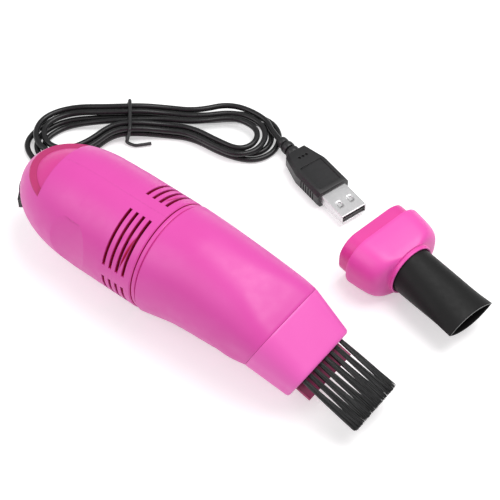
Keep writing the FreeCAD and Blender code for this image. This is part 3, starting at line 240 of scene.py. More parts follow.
def places(tree):
    """Object coordinates of the point that is shaded, in metres."""
    return tree.nodes.new("ShaderNodeTexCoord").outputs["Object"]


def noise(tree, scale, detail=3.0, stretch=None):
    """Noise on Object coordinates, scale in cycles per metre; stretch scales the axes first."""
    texture = node_of(tree, "ShaderNodeTexNoise", Scale=scale, Detail=detail)
    where = places(tree)
    if stretch is not None:
        mapping = node_of(tree, "ShaderNodeMapping", Scale=stretch)
        tree.links.new(where, mapping.inputs["Vector"])
        where = mapping.outputs["Vector"]
    tree.links.new(where, texture.inputs["Vector"])
    return texture.outputs["Fac"]


def ranged(tree, value, low, high, start=0.3, end=0.7):
    """Map a value to a range: low + (high - low) * (value - start) / (end - start), held at its ends."""
    node = node_of(tree, "ShaderNodeMapRange", From_Min=start, From_Max=end, To_Min=low, To_Max=high)
    tree.links.new(value, node.inputs["Value"])
    return node.outputs["Result"]


def combined(tree, operation, first, second):
    """Math on two sockets: MULTIPLY is 1 where both are 1, MAXIMUM where either is."""
    node = tree.nodes.new("ShaderNodeMath")
    node.operation = operation
    tree.links.new(first, node.inputs[0])
    tree.links.new(second, node.inputs[1])
    return node.outputs[0]


def colour_mix(tree, factor, second):
    """Mix node that shows its A colour where the factor is 0 and the second colour where it is 1."""
    node = tree.nodes.new("ShaderNodeMix")
    node.data_type = "RGBA"
    node.inputs["B"].default_value = (*second, 1)
    tree.links.new(factor, node.inputs["Factor"])
    return node


print("node helpers ready")

# %% [markdown]
# A moulded plastic is more than one colour: the colour drifts a little over the piece, a fine grain from
# the mould breaks the gloss, and the roughness drifts in smaller patches. Rubber, felt and metal are the
# same recipe with other numbers. Grain and drift are in cycles per metre, and the grain's depth and the
# softened edge's radius are in metres.

# %% Recipe of a finish
ROUGH_PATCHES = 8
EDGE_SAMPLES = 6


def finish_of(name, colour, second, roughness, grain=9000.0, grain_depth=2e-6, drift=35.0, spread=0.05,
              metallic=0.0, specular=0.5, edge=0.0, stretch=None, **extra):
    """Principled finish: colour drifts to a second colour, roughness drifts by spread, grain bumps it."""
    material = bpy.data.materials.new(name)
    material.use_nodes = True
    tree = material.node_tree
    shader = tree.nodes["Principled BSDF"]
    shader.inputs["Metallic"].default_value = metallic
    shader.inputs["Specular IOR Level"].default_value = specular
    for socket, value in extra.items():
        shader.inputs[socket.replace("_", " ")].default_value = value
    mix = colour_mix(tree, ranged(tree, noise(tree, drift, stretch=stretch), 0, 1), second)
    mix.inputs["A"].default_value = (*colour, 1)
    tree.links.new(mix.outputs["Result"], shader.inputs["Base Color"])
    patches = noise(tree, drift * ROUGH_PATCHES, stretch=stretch)
    tree.links.new(ranged(tree, patches, roughness - spread, roughness + spread), shader.inputs["Roughness"])
    bump = node_of(tree, "ShaderNodeBump", Strength=1.0, Distance=grain_depth)
    tree.links.new(noise(tree, grain, detail=2.0, stretch=stretch), bump.inputs["Height"])
    if edge:
        soft = node_of(tree, "ShaderNodeBevel", Radius=edge)
        soft.samples = EDGE_SAMPLES
        tree.links.new(soft.outputs["Normal"], bump.inputs["Normal"])
    tree.links.new(bump.outputs["Normal"], shader.inputs["Normal"])
    return material


print("roughness drifts", ROUGH_PATCHES, "times finer than colour")

# %% [markdown]
# The shells are pink plastic with a fine satin grain. The nozzles are the same plastic painted a little
# lighter, as painted light on faces that meet the lamps. The spare tongue, the brush holder and what lies
# inside are painted deeper in colour, as painted shade. The softened edge gives the slots and rims the small
# highlight that a mould's rounded corner has.

# %% Pink plastics
PINK = (0.78, 0.077, 0.44)
PINK_DEEP = (0.75, 0.068, 0.41)


def satin_pink(name, colour, second, roughness, edge):
    """Pink shell plastic: a fine grain under a thin coat."""
    return finish_of(name, colour, second, roughness, grain=7000.0, grain_depth=3e-6, edge=edge,
                     Coat_Weight=0.05, Coat_Roughness=0.3)


shell_pink = satin_pink("pink_shell", PINK, PINK_DEEP, 0.42, 0.00025)
# This copy of the shell's pink carries painted shade, mixed in further on.
housing_pink_painted_shade = satin_pink("pink_housing_painted_shade", PINK, PINK_DEEP, 0.42, 0.00025)
# Painted light: the nozzles are the shell's pink made lighter where they face the lamps.
nozzle_pink_painted_light = satin_pink("pink_nozzle_painted_light", (0.93, 0.135, 0.56), (0.9, 0.12, 0.53), 0.4, 0.0002)
spare_pink_painted_light = satin_pink("pink_spare_painted_light", (0.88, 0.09, 0.48), (0.85, 0.08, 0.45), 0.4, 0.0002)
# Painted shade: the spare's tongue is a darker copy of the pink.
tongue_pink_painted_shade = finish_of("pink_tongue_painted_shade", (0.78, 0.05, 0.36), (0.74, 0.045, 0.33), 0.42, edge=0.0002)
# Painted shade: the brush holder is the pink as it looks in the bristles' shade.
holder_pink_painted_shade = finish_of("pink_holder_painted_shade", (0.42, 0.014, 0.13), (0.36, 0.012, 0.11), 0.45, edge=0.0002)
# Painted shade: the pieces inside the housing are a darker, redder copy of the pink.
inner_pink_painted_shade = finish_of("inner_pink_painted_shade", (0.55, 0.015, 0.09), (0.47, 0.012, 0.075), 0.5)
print(len(bpy.data.materials), "materials so far")

# %% [markdown]
# A piece may need a second colour in one place; here it is painted shade on the housing. That place could be
# a piece of its own, but a mask in the finish, which is 1 there and 0 elsewhere, tints it and leaves the mesh
# whole. A mask compares the Object coordinates with two limits, or with a distance, and its border is a
# little soft, so that it looks smooth.

# %% Masks
# Farther than every piece, for a mask with no limit on one side
FAR = 1.0


def inside(tree, axis, low=-FAR, high=FAR, soft=0.12 * MM):
    """1 where the Object coordinate lies between low and high, in metres, and 0 elsewhere."""
    split = tree.nodes.new("ShaderNodeSeparateXYZ")
    tree.links.new(places(tree), split.inputs[0])
    above = ranged(tree, split.outputs[axis], 0, 1, low - soft, low + soft)
    below = ranged(tree, split.outputs[axis], 0, 1, high + soft, high - soft)
    return combined(tree, "MULTIPLY", above, below)


def near_axis(tree, radius, soft=0.1 * MM):
    """1 within the radius of the long axis: distance of (0, y, z) from the axis, in metres."""
    flat = tree.nodes.new("ShaderNodeVectorMath")
    flat.operation = "MULTIPLY"
    flat.inputs[1].default_value = (0, 1, 1)
    distance = tree.nodes.new("ShaderNodeVectorMath")
    distance.operation = "DISTANCE"
    distance.inputs[1].default_value = (0, AXIS_Y, AXIS_HEIGHT * MM)
    tree.links.new(places(tree), flat.inputs[0])
    tree.links.new(flat.outputs[0], distance.inputs[0])
    return ranged(tree, distance.outputs["Value"], 0, 1, radius + soft, radius - soft)


def tint(material, first, second, colour):
    """Mix a colour into a finish wherever both masks are 1."""
    tree = material.node_tree
    socket = tree.nodes["Principled BSDF"].inputs["Base Color"]
    mix = colour_mix(tree, combined(tree, "MULTIPLY", first, second), colour)
    tree.links.new(socket.links[0].from_socket, mix.inputs["A"])
    tree.links.new(mix.outputs["Result"], socket)


print("mask helpers ready")

# %% [markdown]
# The housing gets painted shade in places. At the tail a low dome stands on a ledge behind a wall: little
# light reaches the ledge, so it is painted dark, and the dome is painted deeper in colour as shade, with a
# painted shadow line where it meets the wall. The walls of the air slots' cuts, which lie nearer to the long
# axis than the outside does, are painted deep red as shade.

# %% Painted shade on the housing
LEDGE_Z = (AXIS_HEIGHT + 12.6) * MM
WALL_X = TAIL_X + 20.0 * MM
SHADOW_LINE_WIDTH = 0.5 * MM
LEDGE_BELOW, LEDGE_ABOVE = 0.3 * MM, 0.2 * MM
SLOTS_FROM = TAIL_X + 55.0 * MM
SLOT_RADIUS = 22.1 * MM

housing = housing_pink_painted_shade.node_tree
behind_wall = inside(housing, "X", high=WALL_X)
dome = inside(housing, "Z", low=LEDGE_Z - LEDGE_BELOW)
ledge = inside(housing, "Z", LEDGE_Z - LEDGE_BELOW, LEDGE_Z + LEDGE_ABOVE)
over_ledge = inside(housing, "Z", low=LEDGE_Z + SHADOW_LINE_WIDTH)
wall_shadow_line = inside(housing, "X", WALL_X - SHADOW_LINE_WIDTH, WALL_X)
# Painted shade on the dome, the ledge, the shadow line at the wall and the slot walls, in that order.
tint(housing_pink_painted_shade, dome, behind_wall, (0.74, 0.048, 0.32))
tint(housing_pink_painted_shade, ledge, behind_wall, (0.5, 0.03, 0.16))
tint(housing_pink_painted_shade, over_ledge, wall_shadow_line, (0.3, 0.0, 0.1))
tint(housing_pink_painted_shade, near_axis(housing, SLOT_RADIUS), inside(housing, "X", low=SLOTS_FROM), (0.5, 0.008, 0.06))
print("ledge at", round(LEDGE_Z, 4), "m, its wall at", round(WALL_X, 4), "m")

# %% [markdown]
# Black pieces differ mostly in their gloss: the cord's sheath shines, the plug is dull and the tube is
# duller. The bristles' pattern is drawn out along their length. Metals reflect nearly all their light in
# their own colour, and felt has a coarse, deep grain.

# %% Black, metal and felt finishes
cord_black = finish_of("cord_sheath", (0.009, 0.009, 0.0095), (0.014, 0.014, 0.015), 0.3, grain=5000.0,
                       grain_depth=3e-6, drift=90.0, specular=0.4)
plug_black = finish_of("plug_rubber", (0.012, 0.012, 0.013), (0.017, 0.017, 0.018), 0.42, grain=6000.0,
                       grain_depth=4e-6, drift=120.0, edge=0.0002)
rubber_black = finish_of("tube_rubber", (0.011, 0.011, 0.011), (0.015, 0.015, 0.015), 0.5, grain=3500.0,
                         grain_depth=5e-6, drift=60.0, specular=0.16)
# Painted highlight: a pale grey for the edge of the tube's mouth.
rubber_painted_highlight = finish_of("tube_painted_highlight", (0.3, 0.3, 0.3), (0.22, 0.22, 0.22), 0.5, drift=300.0)
tie_black = finish_of("tie_sheath", (0.015, 0.015, 0.016), (0.024, 0.024, 0.025), 0.4, drift=150.0)
switch_black = finish_of("switch_plastic", (0.012, 0.012, 0.013), (0.018, 0.018, 0.019), 0.32,
                         drift=200.0, edge=0.0002)
bristle_black = finish_of("bristle_nylon", (0.005, 0.005, 0.0055), (0.014, 0.014, 0.015), 0.34, drift=900.0,
                          grain=4000.0, stretch=(0.12, 1.0, 1.0))
plated = finish_of("plated_steel", (0.76, 0.76, 0.765), (0.7, 0.7, 0.705), 0.38, grain=2500.0,
                   grain_depth=4e-7, drift=200.0, spread=0.05, metallic=0.85, edge=0.00012)
brass = finish_of("contact_brass", (0.78, 0.58, 0.28), (0.7, 0.52, 0.25), 0.25, metallic=1.0, drift=300.0)
magnet_dark = finish_of("magnet_dark", (0.06, 0.06, 0.065), (0.09, 0.09, 0.095), 0.5)
felt_white = finish_of("filter_felt", (0.82, 0.81, 0.78), (0.7, 0.69, 0.66), 0.9, grain=2500.0,
                       grain_depth=6e-5, drift=400.0)
wire_red = finish_of("wire_red", (0.55, 0.015, 0.015), (0.5, 0.012, 0.012), 0.4)
print(len(bpy.data.materials), "materials in all")

# %% [markdown]
# Most nodes of the frame have the right shape and need only a finish, given to their material slots. The
# pieces that are made anew further on hide the nodes that they stand for.

# %% Dress the frame
NODE_FINISHES = [
    (housing_pink_painted_shade, ("rear_housing_left", "rear_housing_right")),
    (inner_pink_painted_shade, ("motor_mount", "impeller", "fan_shroud", "filter_frame", "motor_end_cap")),
    (holder_pink_painted_shade, ("brush_holder",)),
    (plated, ("motor_can", "motor_screws", "housing_screws", "motor_shaft")),
    (brass, ("plug_contacts", "motor_bushes", "motor_commutator", "motor_terminals")),
    (magnet_dark, ("motor_magnets", "motor_armature")),
    (switch_black, ("switch_bezel", "switch_body", "switch_knob", "plug_insulator")),
    (felt_white, ("filter_cloth",)),
    (wire_red, ("lead_wire_red",)),
    (tie_black, ("lead_wire_black",)),
    (rubber_black, ("barrel_seal",)),
    (cord_black, ("cord_grommet",))]


def dress_node(name, material):
    """Put a material on a node of the frame without touching its mesh."""
    node = NODES[name]
    if not node.material_slots:
        node.data.materials.append(material)
    for holder in node.material_slots:
        holder.material = material


def dress(piece, material):
    """Give a new piece its material."""
    piece.data.materials.clear()
    piece.data.materials.append(material)


for material, names in NODE_FINISHES:
    for name in names:
        dress_node(name, material)
print(sum(len(names) for _, names in NODE_FINISHES), "nodes keep their own shape")

# %% [markdown]
# The cord's hank is the same fold again and again, round a middle line that bends to the right. Its points
# could be placed one by one, but a few sizes and one rule keep its runs clear of each other. A place in the
# hank is named by how far along the middle line it is, how far aside, and how high.

# %% Hank's middle line
CORD = 2.4
HANK_X, HANK_Y, HANK_HEADING, HANK_BEND = -21.3, 31.2, 58.5, 109.4


def hank_place(along, aside, height, turn=0.0):
    """Arc(along) + aside * normal, and the direction there: the heading falls by along / HANK_BEND."""
    first = math.radians(HANK_HEADING)
    heading = first - along / HANK_BEND
    x = HANK_X + HANK_BEND * (math.sin(first) - math.sin(heading)) - aside * math.sin(heading)
    y = HANK_Y + HANK_BEND * (math.cos(heading) - math.cos(first)) + aside * math.cos(heading)
    heading += math.radians(turn)
    return np.array([x, y, height]), np.array([math.cos(heading), math.sin(heading), 0.0])


def fold_place(fold, aside, height, forward=0.0):
    """Place beside a fold's own middle: middle + aside * normal + forward * direction."""
    middle, way = hank_place(fold[0], fold[1], height, fold[2])
    return middle + aside * np.array([-way[1], way[0], 0.0]) + forward * way, way


print("hank starts at", hank_place(0.0, 0.0, CORD / 2)[0].round(1))

# %% [markdown]
# There are nine runs, five in a lower layer and four on top of it, joined by half circles. The folds
# of each layer have their own place and turn, so that they fan out where nothing ties them. Each run passes
# four stops whose directions are known. Between two stops, a quarter of the way from each, lie the control
# points, and a half circle has four.

# %% Hank's control points
# How far along and aside the tie's waist and a second hold are, and how far the tie lifts the runs
WAIST, WAIST_ASIDE, WAIST_LIFT = 33.0, -3.0, 1.9
HOLD, HOLD_ASIDE = 54.0, -2.0
# Spacing of the runs loose and tied, height of a layer, number of runs, radius of the tightest fold
PITCH, WAIST_PITCH, LAYER, RUNS, FOLD = 3.25, 3.2, 2.95, 9, 7.3
# Each layer's folds: along, aside, and turned by how many degrees
LEFT_FOLDS = [(3.0, -7.0, 20.0), (6.0, -5.0, 8.0)]
RIGHT_FOLDS = [(85.0, -0.5, 6.0), (81.5, -1.5, -8.0)]
FIRST_FORWARD, LAST_BACK = 3.0, 5.0
HALF_TURN = (22.5, 67.5, 112.5, 157.5)


def hank_runs():
    """Stops (place, direction) of each run in walking order, outermost runs first in the lower layer."""
    half = (RUNS + 1) // 2
    wide = FOLD + (2 * half - 3) * PITCH / 4
    tight = (half - 0.5) * WAIST_PITCH / 2
    level = (CORD / 2, CORD / 2 + LAYER)
    runs = []
    for run in range(1, RUNS + 1):
        rank = run - 1 if run <= half else RUNS - run
        side = 1 if run % 2 else -1
        loose_aside = side * (wide - rank * PITCH / 2)
        tied_aside = side * (tight - rank * WAIST_PITCH / 2)
        before, after = int(run > half), int(run >= half)
        left, right = (before, after) if side > 0 else (after, before)
        waist_height = (level[before] + level[after]) / 2 + WAIST_LIFT
        stops = [fold_place(LEFT_FOLDS[left], loose_aside, level[left], FIRST_FORWARD * (run == 1)),
                 hank_place(WAIST, WAIST_ASIDE + tied_aside, waist_height),
                 hank_place(HOLD, HOLD_ASIDE + tied_aside, level[right]),
                 fold_place(RIGHT_FOLDS[right], loose_aside, level[right], -LAST_BACK * (run == RUNS))]
        runs.append(stops if side > 0 else [(place, -way) for place, way in stops[::-1]])
    return runs


def hank_points():
    """Control points: start + quarter * way and end - quarter * way on runs, a half circle between runs."""
    runs = hank_runs()
    points = []
    for number, stops in enumerate(runs):
        for (start, start_way), (end, end_way) in zip(stops, stops[1:]):
            quarter = np.linalg.norm(end - start) / 4
            points += [start + quarter * start_way, end - quarter * end_way]
        if number + 1 < RUNS:
            (near, way), (far, _) = stops[-1], runs[number + 1][0]
            centre, corner = (near + far) / 2, math.cos(math.radians(HALF_TURN[0]))
            for angle in HALF_TURN:
                a = math.radians(angle)
                reach = way * np.linalg.norm(near - centre) * math.sin(a)
                points.append(centre + (reach + (near - centre) * math.cos(a)) / corner)
    return [tuple(point) for point in points]


print("the hank has", len(hank_points()), "control points")

# %% [markdown]
# The whole cord is one smooth curve: out of the grommet behind the tail, down to the desk, through the hank
# and into the plug's strain relief. A curve with a round bevel keeps the cord's thickness everywhere. Its
# order is set after its points, because a spline with too few points can't take it. The same curve without
# a bevel is the cord's middle line, whose length is measured.

# %% Cord
CORD_START = [(2.67, 12.36, 6.69), (-2.0, 14.69, 2.03), (-13.0, 15.0, 1.2), (-24.9, 19.2, 1.2),
              (-27.39, 28.96, 1.2)]
CORD_END = [(45.26, 91.33, 4.15), (52.72, 86.57, 4.1), (58.02, 85.1, 4.1)]
route = CORD_START + hank_points() + CORD_END


def spline(name, points, thickness):
    """Quadratic NURBS curve that follows a control polygon, with a round bevel."""
    curve = bpy.data.curves.new(name, "CURVE")
    curve.dimensions = "3D"
    line = curve.splines.new("NURBS")
    line.points.add(len(points) - 1)
    weighted = np.column_stack([in_metres(points), np.ones(len(points))])
    line.points.foreach_set("co", weighted.ravel())
    line.order_u = 3
    line.use_endpoint_u = True
    line.resolution_u = 10
    curve.bevel_depth = thickness / 2 * MM
    curve.bevel_resolution = 5
    curve.use_fill_caps = True
    piece = bpy.data.objects.new(name, curve)
    bpy.context.scene.collection.objects.link(piece)
    return piece


def centreline(points):
    """Points of the NURBS route itself, in metres, read from the curve with no bevel."""
    bare = spline("measure", points, 0.0)
    mesh = bpy.data.meshes.new_from_object(bare)
    co = np.empty(len(mesh.vertices) * 3)
    mesh.vertices.foreach_get("co", co)
    bpy.data.objects.remove(bare)
    bpy.data.meshes.remove(mesh)
    return co.reshape(-1, 3)


cord = spline("cord", route, CORD)
cord.data.materials.append(cord_black)
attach(cord, "cleaner")
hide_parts("cord_lead", "cord_hank", "cord_tail")
cord_length = float(np.linalg.norm(np.diff(centreline(route), axis=0), axis=1).sum())
print("cord length", round(cord_length, 3), "m from", len(route), "points")

# %% [markdown]
# A coated wire holds the hank at its waist, and its last end is bent aside. A curve with a bevel would do
# here too. A tube as a grid shows how a round section is carried along a path: each section stands square
# to the path, and each takes its direction from the last one, so that the tube isn't twisted.


# %% Tube along a path
def frames_along(path):
    """Normal and binormal at each point of a path; each normal is the last one less its tangent part."""
    tangent = np.gradient(path, axis=0)
    tangent /= np.linalg.norm(tangent, axis=1)[:, None]
    normal = np.empty_like(path)
    previous = np.array([0.0, 0.0, 1.0]) if abs(tangent[0][2]) < 0.9 else np.array([1.0, 0.0, 0.0])
    for i, way in enumerate(tangent):
        side = previous - way * previous.dot(way)
        previous = side / np.linalg.norm(side)
        normal[i] = previous
    return normal, np.cross(tangent, normal)


def tube_grid(path, radius, sides=12):
    """Tube: path(i) + radius * (cos a * normal + sin a * binormal)."""
    normal, binormal = frames_along(path)
    a = np.linspace(0, 2 * math.pi, sides, endpoint=False)[None, :, None]
    return path[:, None, :] + radius * (np.cos(a) * normal[:, None, :] + np.sin(a) * binormal[:, None, :])


# Keeps the last point of a path on its last stretch
JUST_UNDER = 1e-6


def smooth_path(points, count):
    """Catmull-Rom curve through points b and c with neighbours a and d, as a cubic in u from b to c."""
    p = np.asarray(points, float)
    p = np.vstack([2 * p[0] - p[1], p, 2 * p[-1] - p[-2]])
    t = np.linspace(0, len(p) - 3 - JUST_UNDER, count)
    k = t.astype(int)
    u = (t - k)[:, None]
    a, b, c, d = p[k], p[k + 1], p[k + 2], p[k + 3]
    square, cube = 2 * a - 5 * b + 4 * c - d, 3 * b - a - 3 * c + d
    return 0.5 * (2 * b + (c - a) * u + square * u ** 2 + cube * u ** 3)


print("tube helpers ready")

# %% [markdown]
# The tie's path is given in the hank's own measures, so it stays round the hank if the hank is moved: how
# far aside and how high, once round the runs, and then three places further along for the bent end.

# %% Wire tie
TIE_LOOP = [(-10.7, 2.4), (-10.2, 1.0), (-3.0, 0.8), (5.4, 1.0), (6.2, 2.4), (6.2, 6.2), (5.3, 7.8),
            (-2.2, 8.15), (-9.8, 7.8), (-10.7, 6.2), (-10.8, 2.6), (-11.5, 1.1)]
TIE_END = [(2.6, -13.2, 0.9), (6.0, -13.0, 0.9), (10.5, -12.1, 0.9)]
TIE_LEAN, TIE_MIDDLE = 0.25, 4
TIE_RADIUS, TIE_LOWEST, TIE_STEPS = 0.7, 0.71, 150

tie_points = [hank_place(WAIST + TIE_LEAN * (height - TIE_MIDDLE), aside, height)[0]
              for aside, height in TIE_LOOP]
tie_points += [hank_place(WAIST + along, aside, height)[0] for along, aside, height in TIE_END]
tie_path = smooth_path(tie_points, TIE_STEPS)
tie_path[:, 2] = np.maximum(tie_path[:, 2], TIE_LOWEST)
tie = new_object("hank_tie", grid_mesh("hank_tie", tube_grid(tie_path, TIE_RADIUS), cap=True))
dress(tie, tie_black)
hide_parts("cord_tie")
print("tie is", round(float(np.linalg.norm(np.diff(tie_path, axis=0), axis=1).sum())), "mm of wire")

# %% [markdown]
# The plug has a soft strain relief with deep rings, a moulded grip with flat faces and bevelled sides, a
# folded metal shell with two square windows on each face and a spring tab behind each window, and the tongue
# with its contacts. Its pieces are worked out in the plug's own frame, with X out of the shell.

# %% Plug frame
PLUG_AT, PLUG_YAW, PLUG_HEIGHT = (91.75, 75.75), -15.5, 4.1


def in_plug(points):
    """From the plug's own frame to the working frame."""
    return turned(points, "z", PLUG_YAW) + [PLUG_AT[0], PLUG_AT[1], PLUG_HEIGHT]


def plug_piece(name, grid, **how):
    """Closed skin in the plug's frame as an object."""
    return new_object(name, grid_mesh(name, in_plug(grid), **how))


print("plug's shell starts at", in_plug([0, 0, 0]).round(2))

# %% [markdown]
# The grip is a row of eight-sided sections that widens from the strain relief to the shell. It has more
# rows near its ends, where its edges are rounded.

# %% Plug grip
GRIP_ROWS = [(-25.0, 0, 0, 4.7, 3.4, 1.0), (-24.85, 0, 0, 5.05, 3.7, 1.1), (-24.5, 0, 0, 5.25, 3.8, 1.2),
             (-19.8, 0, 0, 6.45, 3.98, 1.3), (-15.5, 0, 0, 7.55, 4.09, 1.3), (-14.7, 0, 0, 7.7, 4.1, 1.3),
             (-10.0, 0, 0, 7.7, 4.1, 1.3), (-4.0, 0, 0, 7.7, 4.1, 1.3), (-0.4, 0, 0, 7.7, 4.1, 1.3),
             (-0.1, 0, 0, 7.6, 4.0, 1.25), (0.0, 0, 0, 7.4, 3.8, 1.2)]
BEVEL_DOWN, BEVEL_IN = 1.4, 0.9


def bevelled(half_width, half_height, cut, per_side=5):
    """Eight-sided section: a rectangle whose corners are cut off, a little more down than in."""
    w, h, down, far_in = half_width, half_height, BEVEL_DOWN * cut, BEVEL_IN * cut
    corners = np.array([(w, h - down), (w - far_in, h), (-w + far_in, h), (-w, h - down),
                        (-w, -h + down), (-w + far_in, -h), (w - far_in, -h), (w, -h + down)])
    share = np.linspace(0, 1, per_side, endpoint=False)[:, None]
    return np.concatenate([corners[k] + (corners[(k + 1) % 8] - corners[k]) * share for k in range(8)])


grip = plug_piece("plug_grip", rings(GRIP_ROWS, bevelled), cap=True)
print("grip is", -GRIP_ROWS[0][0], "mm long")

# %% [markdown]
# The grip has a bare sunken panel and three dots in its top, six grooves down each side, and a pocket for
# the metal shell. They could be part of the grid, but it would need far more rows, so each is a closed solid
# of its own that is taken away afterwards.

# %% Cuts in the grip
PANEL = (-15.4, -2.2, -5.2, 5.2, 3.55, 5.0)
POCKET = (-3.0, 1.0, -6.0, 6.0, -2.25, 2.25)
DOT_X, DOT_PITCH, DOT_RADIUS, DOT_SIDES = -20.2, 1.75, 0.65, 20
DOT_FROM, DOT_TO = 3.2, 5.0
GROOVES, GROOVE_X, GROOVE_PITCH, GROOVE_WIDTH, GROOVE_HEIGHT = 6, -11.5, 1.55, 0.6, 2.2
GROOVE_AT, GROOVE_REACH, GROOVE_CORNER, POCKET_CORNER = 8.4, 1.1, 0.2, 0.5


def box_grid(x0, x1, w0, w1, h0, h1, corner=0.3):
    """Rounded block as two identical sections at x0 and x1."""
    flat = oval((w1 - w0) / 2, (h1 - h0) / 2, corner, 4, 0) + [(w0 + w1) / 2, (h0 + h1) / 2]
    section = np.column_stack([np.zeros(len(flat)), flat])
    return np.array([section + [x0, 0, 0], section + [x1, 0, 0]])


def grip_cuts():
    """Grids of the panel, the dots (circles moved up), the grooves and the pocket."""
    cuts = [box_grid(*PANEL)]
    a = np.linspace(0, 2 * math.pi, DOT_SIDES, endpoint=False)
    for k in (-1, 0, 1):
        disc = np.column_stack([DOT_X + DOT_RADIUS * np.cos(a), DOT_PITCH * k + DOT_RADIUS * np.sin(a),
                                np.zeros(DOT_SIDES)])
        cuts.append(np.array([disc + [0, 0, DOT_FROM], disc + [0, 0, DOT_TO]]))
    for side in (-1, 1):
        for k in range(GROOVES):
            x = GROOVE_X + GROOVE_PITCH * k
            cuts.append(box_grid(x, x + GROOVE_WIDTH, side * GROOVE_AT - GROOVE_REACH,
                                 side * GROOVE_AT + GROOVE_REACH, -GROOVE_HEIGHT, GROOVE_HEIGHT,
                                 GROOVE_CORNER))
    return cuts + [box_grid(*POCKET, POCKET_CORNER)]


print(len(grip_cuts()), "solids to take away")

# %% [markdown]
# One exact Boolean takes a whole collection of solids away at once. Its result is kept as the mesh, so the
# solids can go. A cut leaves flat faces with clear edges, so here edges stay hard from a smaller angle.

# %% Carved grip
CARVED_ANGLE = 28


def carve(piece, cuts):
    """Cut solids in the plug's frame out of a piece and keep the result as its mesh."""
    tools = bpy.data.collections.new("cutters")
    bpy.context.scene.collection.children.link(tools)
    for grid in cuts:
        solid = grid_mesh("cutter", in_plug(grid), cap=True)
        tools.objects.link(bpy.data.objects.new("cutter", solid))
    cut = piece.modifiers.new("carve", "BOOLEAN")
    cut.operand_type = "COLLECTION"
    cut.collection = tools
    cut.solver = "EXACT"
    result = bpy.data.meshes.new_from_object(piece.evaluated_get(bpy.context.evaluated_depsgraph_get()))
    piece.modifiers.clear()
    piece.data = result
    result.shade_smooth()
    result.set_sharp_from_angle(angle=math.radians(CARVED_ANGLE))
    for thing in list(tools.objects):
        bpy.data.objects.remove(thing)
    bpy.data.collections.remove(tools)


carve(grip, grip_cuts())
dress(grip, plug_black)
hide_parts("plug_overmould")
print("plug grip has", len(grip.data.polygons), "faces")

# %% [markdown]
# The strain relief is a turned piece, so its profile is all it needs: three thick rings with rounded lips,
# and gaps between them that let it bend.

# %% Plug strain relief
RELIEF_PROFILE = [(-35.0, 1.25), (-35.0, 1.9), (-34.8, 2.2), (-34.2, 2.35), (-32.6, 2.4), (-32.3, 2.2),
                  (-32.1, 1.6), (-31.5, 1.6), (-31.4, 2.4), (-31.2, 2.75), (-30.8, 2.85), (-29.3, 2.85),
                  (-28.9, 2.65), (-28.7, 1.8), (-28.1, 1.8), (-28.0, 2.7), (-27.7, 3.0), (-27.2, 3.05),
                  (-25.8, 3.05), (-25.5, 2.9), (-25.3, 2.1), (-24.6, 2.1), (-24.6, 1.0)]
relief = plug_piece("plug_relief", rings(round_rows(RELIEF_PROFILE)), cap=True)
dress(relief, plug_black)
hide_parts("plug_strain_relief")
print("relief is", round(RELIEF_PROFILE[-1][0] - RELIEF_PROFILE[0][0], 1), "mm long")

# %% [markdown]
# The plug's shell is folded from thin sheet. Its skin is a grid whose lines fall on the edges of the square
# windows, so leaving out those quads opens them, and Solidify gives the sheet its thickness. A Boolean
# would open them too, but it leaves long thin faces beside each window.

# %% Plug shell
SHELL_W, SHELL_H, SHELL_CORNER, SHELL_T = 6.0, 2.25, 0.45, 0.3
WINDOW_X, WINDOW_Y, WINDOW_HALF, FACE_DEPTH = 7.5, 2.6, 1.1, 0.1
flat = oval(SHELL_W, SHELL_H, SHELL_CORNER, 6, 22)
stations = np.array([-2.8, 0.4, 3.0, 5.4, 6.4, 7.5, 8.6, 9.6, 11.5, 13.0, 13.4])
shell_grid = np.array([np.column_stack([np.full(len(flat), x), flat]) for x in stations])
mid_x = (stations[:-1] + stations[1:])[:, None] / 2
mid_y, mid_z = ((flat + np.roll(flat, -1, 0)) / 2).T[:, None, :]
window = (abs(mid_x - WINDOW_X) < WINDOW_HALF) & (abs(abs(mid_y) - WINDOW_Y) < WINDOW_HALF)
window &= abs(mid_z) > SHELL_H - FACE_DEPTH
shell = plug_piece("plug_shell_sheet", shell_grid, keep=~window)
sheet = shell.modifiers.new("sheet", "SOLIDIFY")
sheet.thickness = SHELL_T * MM
sheet.offset = -1
dress(shell, plated)
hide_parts("plug_shell")
print("windows leave out", int(window.sum()), "quads")

# %% [markdown]
# A small tab of bright metal shows behind each window. Only its flat middle is seen, so four thin plates
# inside the shell are enough.

# %% Spring tabs
TAB_HALF, TAB_HEIGHT, TAB_HALF_T, TAB_CORNER = 1.3, 1.8, 0.1, 0.05
tabs = []
for side in (-1, 1):
    for face in (-1, 1):
        plate = box_grid(WINDOW_X - TAB_HALF, WINDOW_X + TAB_HALF,
                         side * WINDOW_Y - TAB_HALF, side * WINDOW_Y + TAB_HALF,
                         face * TAB_HEIGHT - TAB_HALF_T, face * TAB_HEIGHT + TAB_HALF_T, TAB_CORNER)
        tabs.append(plug_piece(f"plug_spring_tab_{len(tabs) + 1}", plate, cap=True))
        dress(tabs[-1], plated)
print(len(tabs), "spring tabs")

# %% [markdown]
# The cord's length is measured along the middle line of its curve.

print("declared", round(cord_length, 4), "m of cord")

# %% [markdown]
# The dust barrel starts round behind and flows into a flat oval mouth that droops. Five stations fix its
# width, height, middle and tilt. A smooth curve through the stations gives as many sections as are needed,
# and because its slope never overshoots, no station makes a bump.

# %% Barrel's flow
MOUTH_X, MOUTH_RISE, MOUTH_TILT = 123.2, 23.07, 21.5
MOUTH_W, MOUTH_H, MOUTH_C = 19.2, 11.8, 10.3
BARREL_STATIONS = np.array([
    (72.8, AXIS_HEIGHT, 0.0, BODY_RADIUS, BODY_RADIUS, 22.3),
    (90.0, 24.55, 0.0, 20.85, 20.9, 20.55),
    (108.0, 24.06, 8.0, 20.15, 17.93, 17.63),
    (116.785, 23.157, 19.0, 19.3, 14.8, 12.1),
    (MOUTH_X, MOUTH_RISE, MOUTH_TILT, MOUTH_W, MOUTH_H, MOUTH_C)])


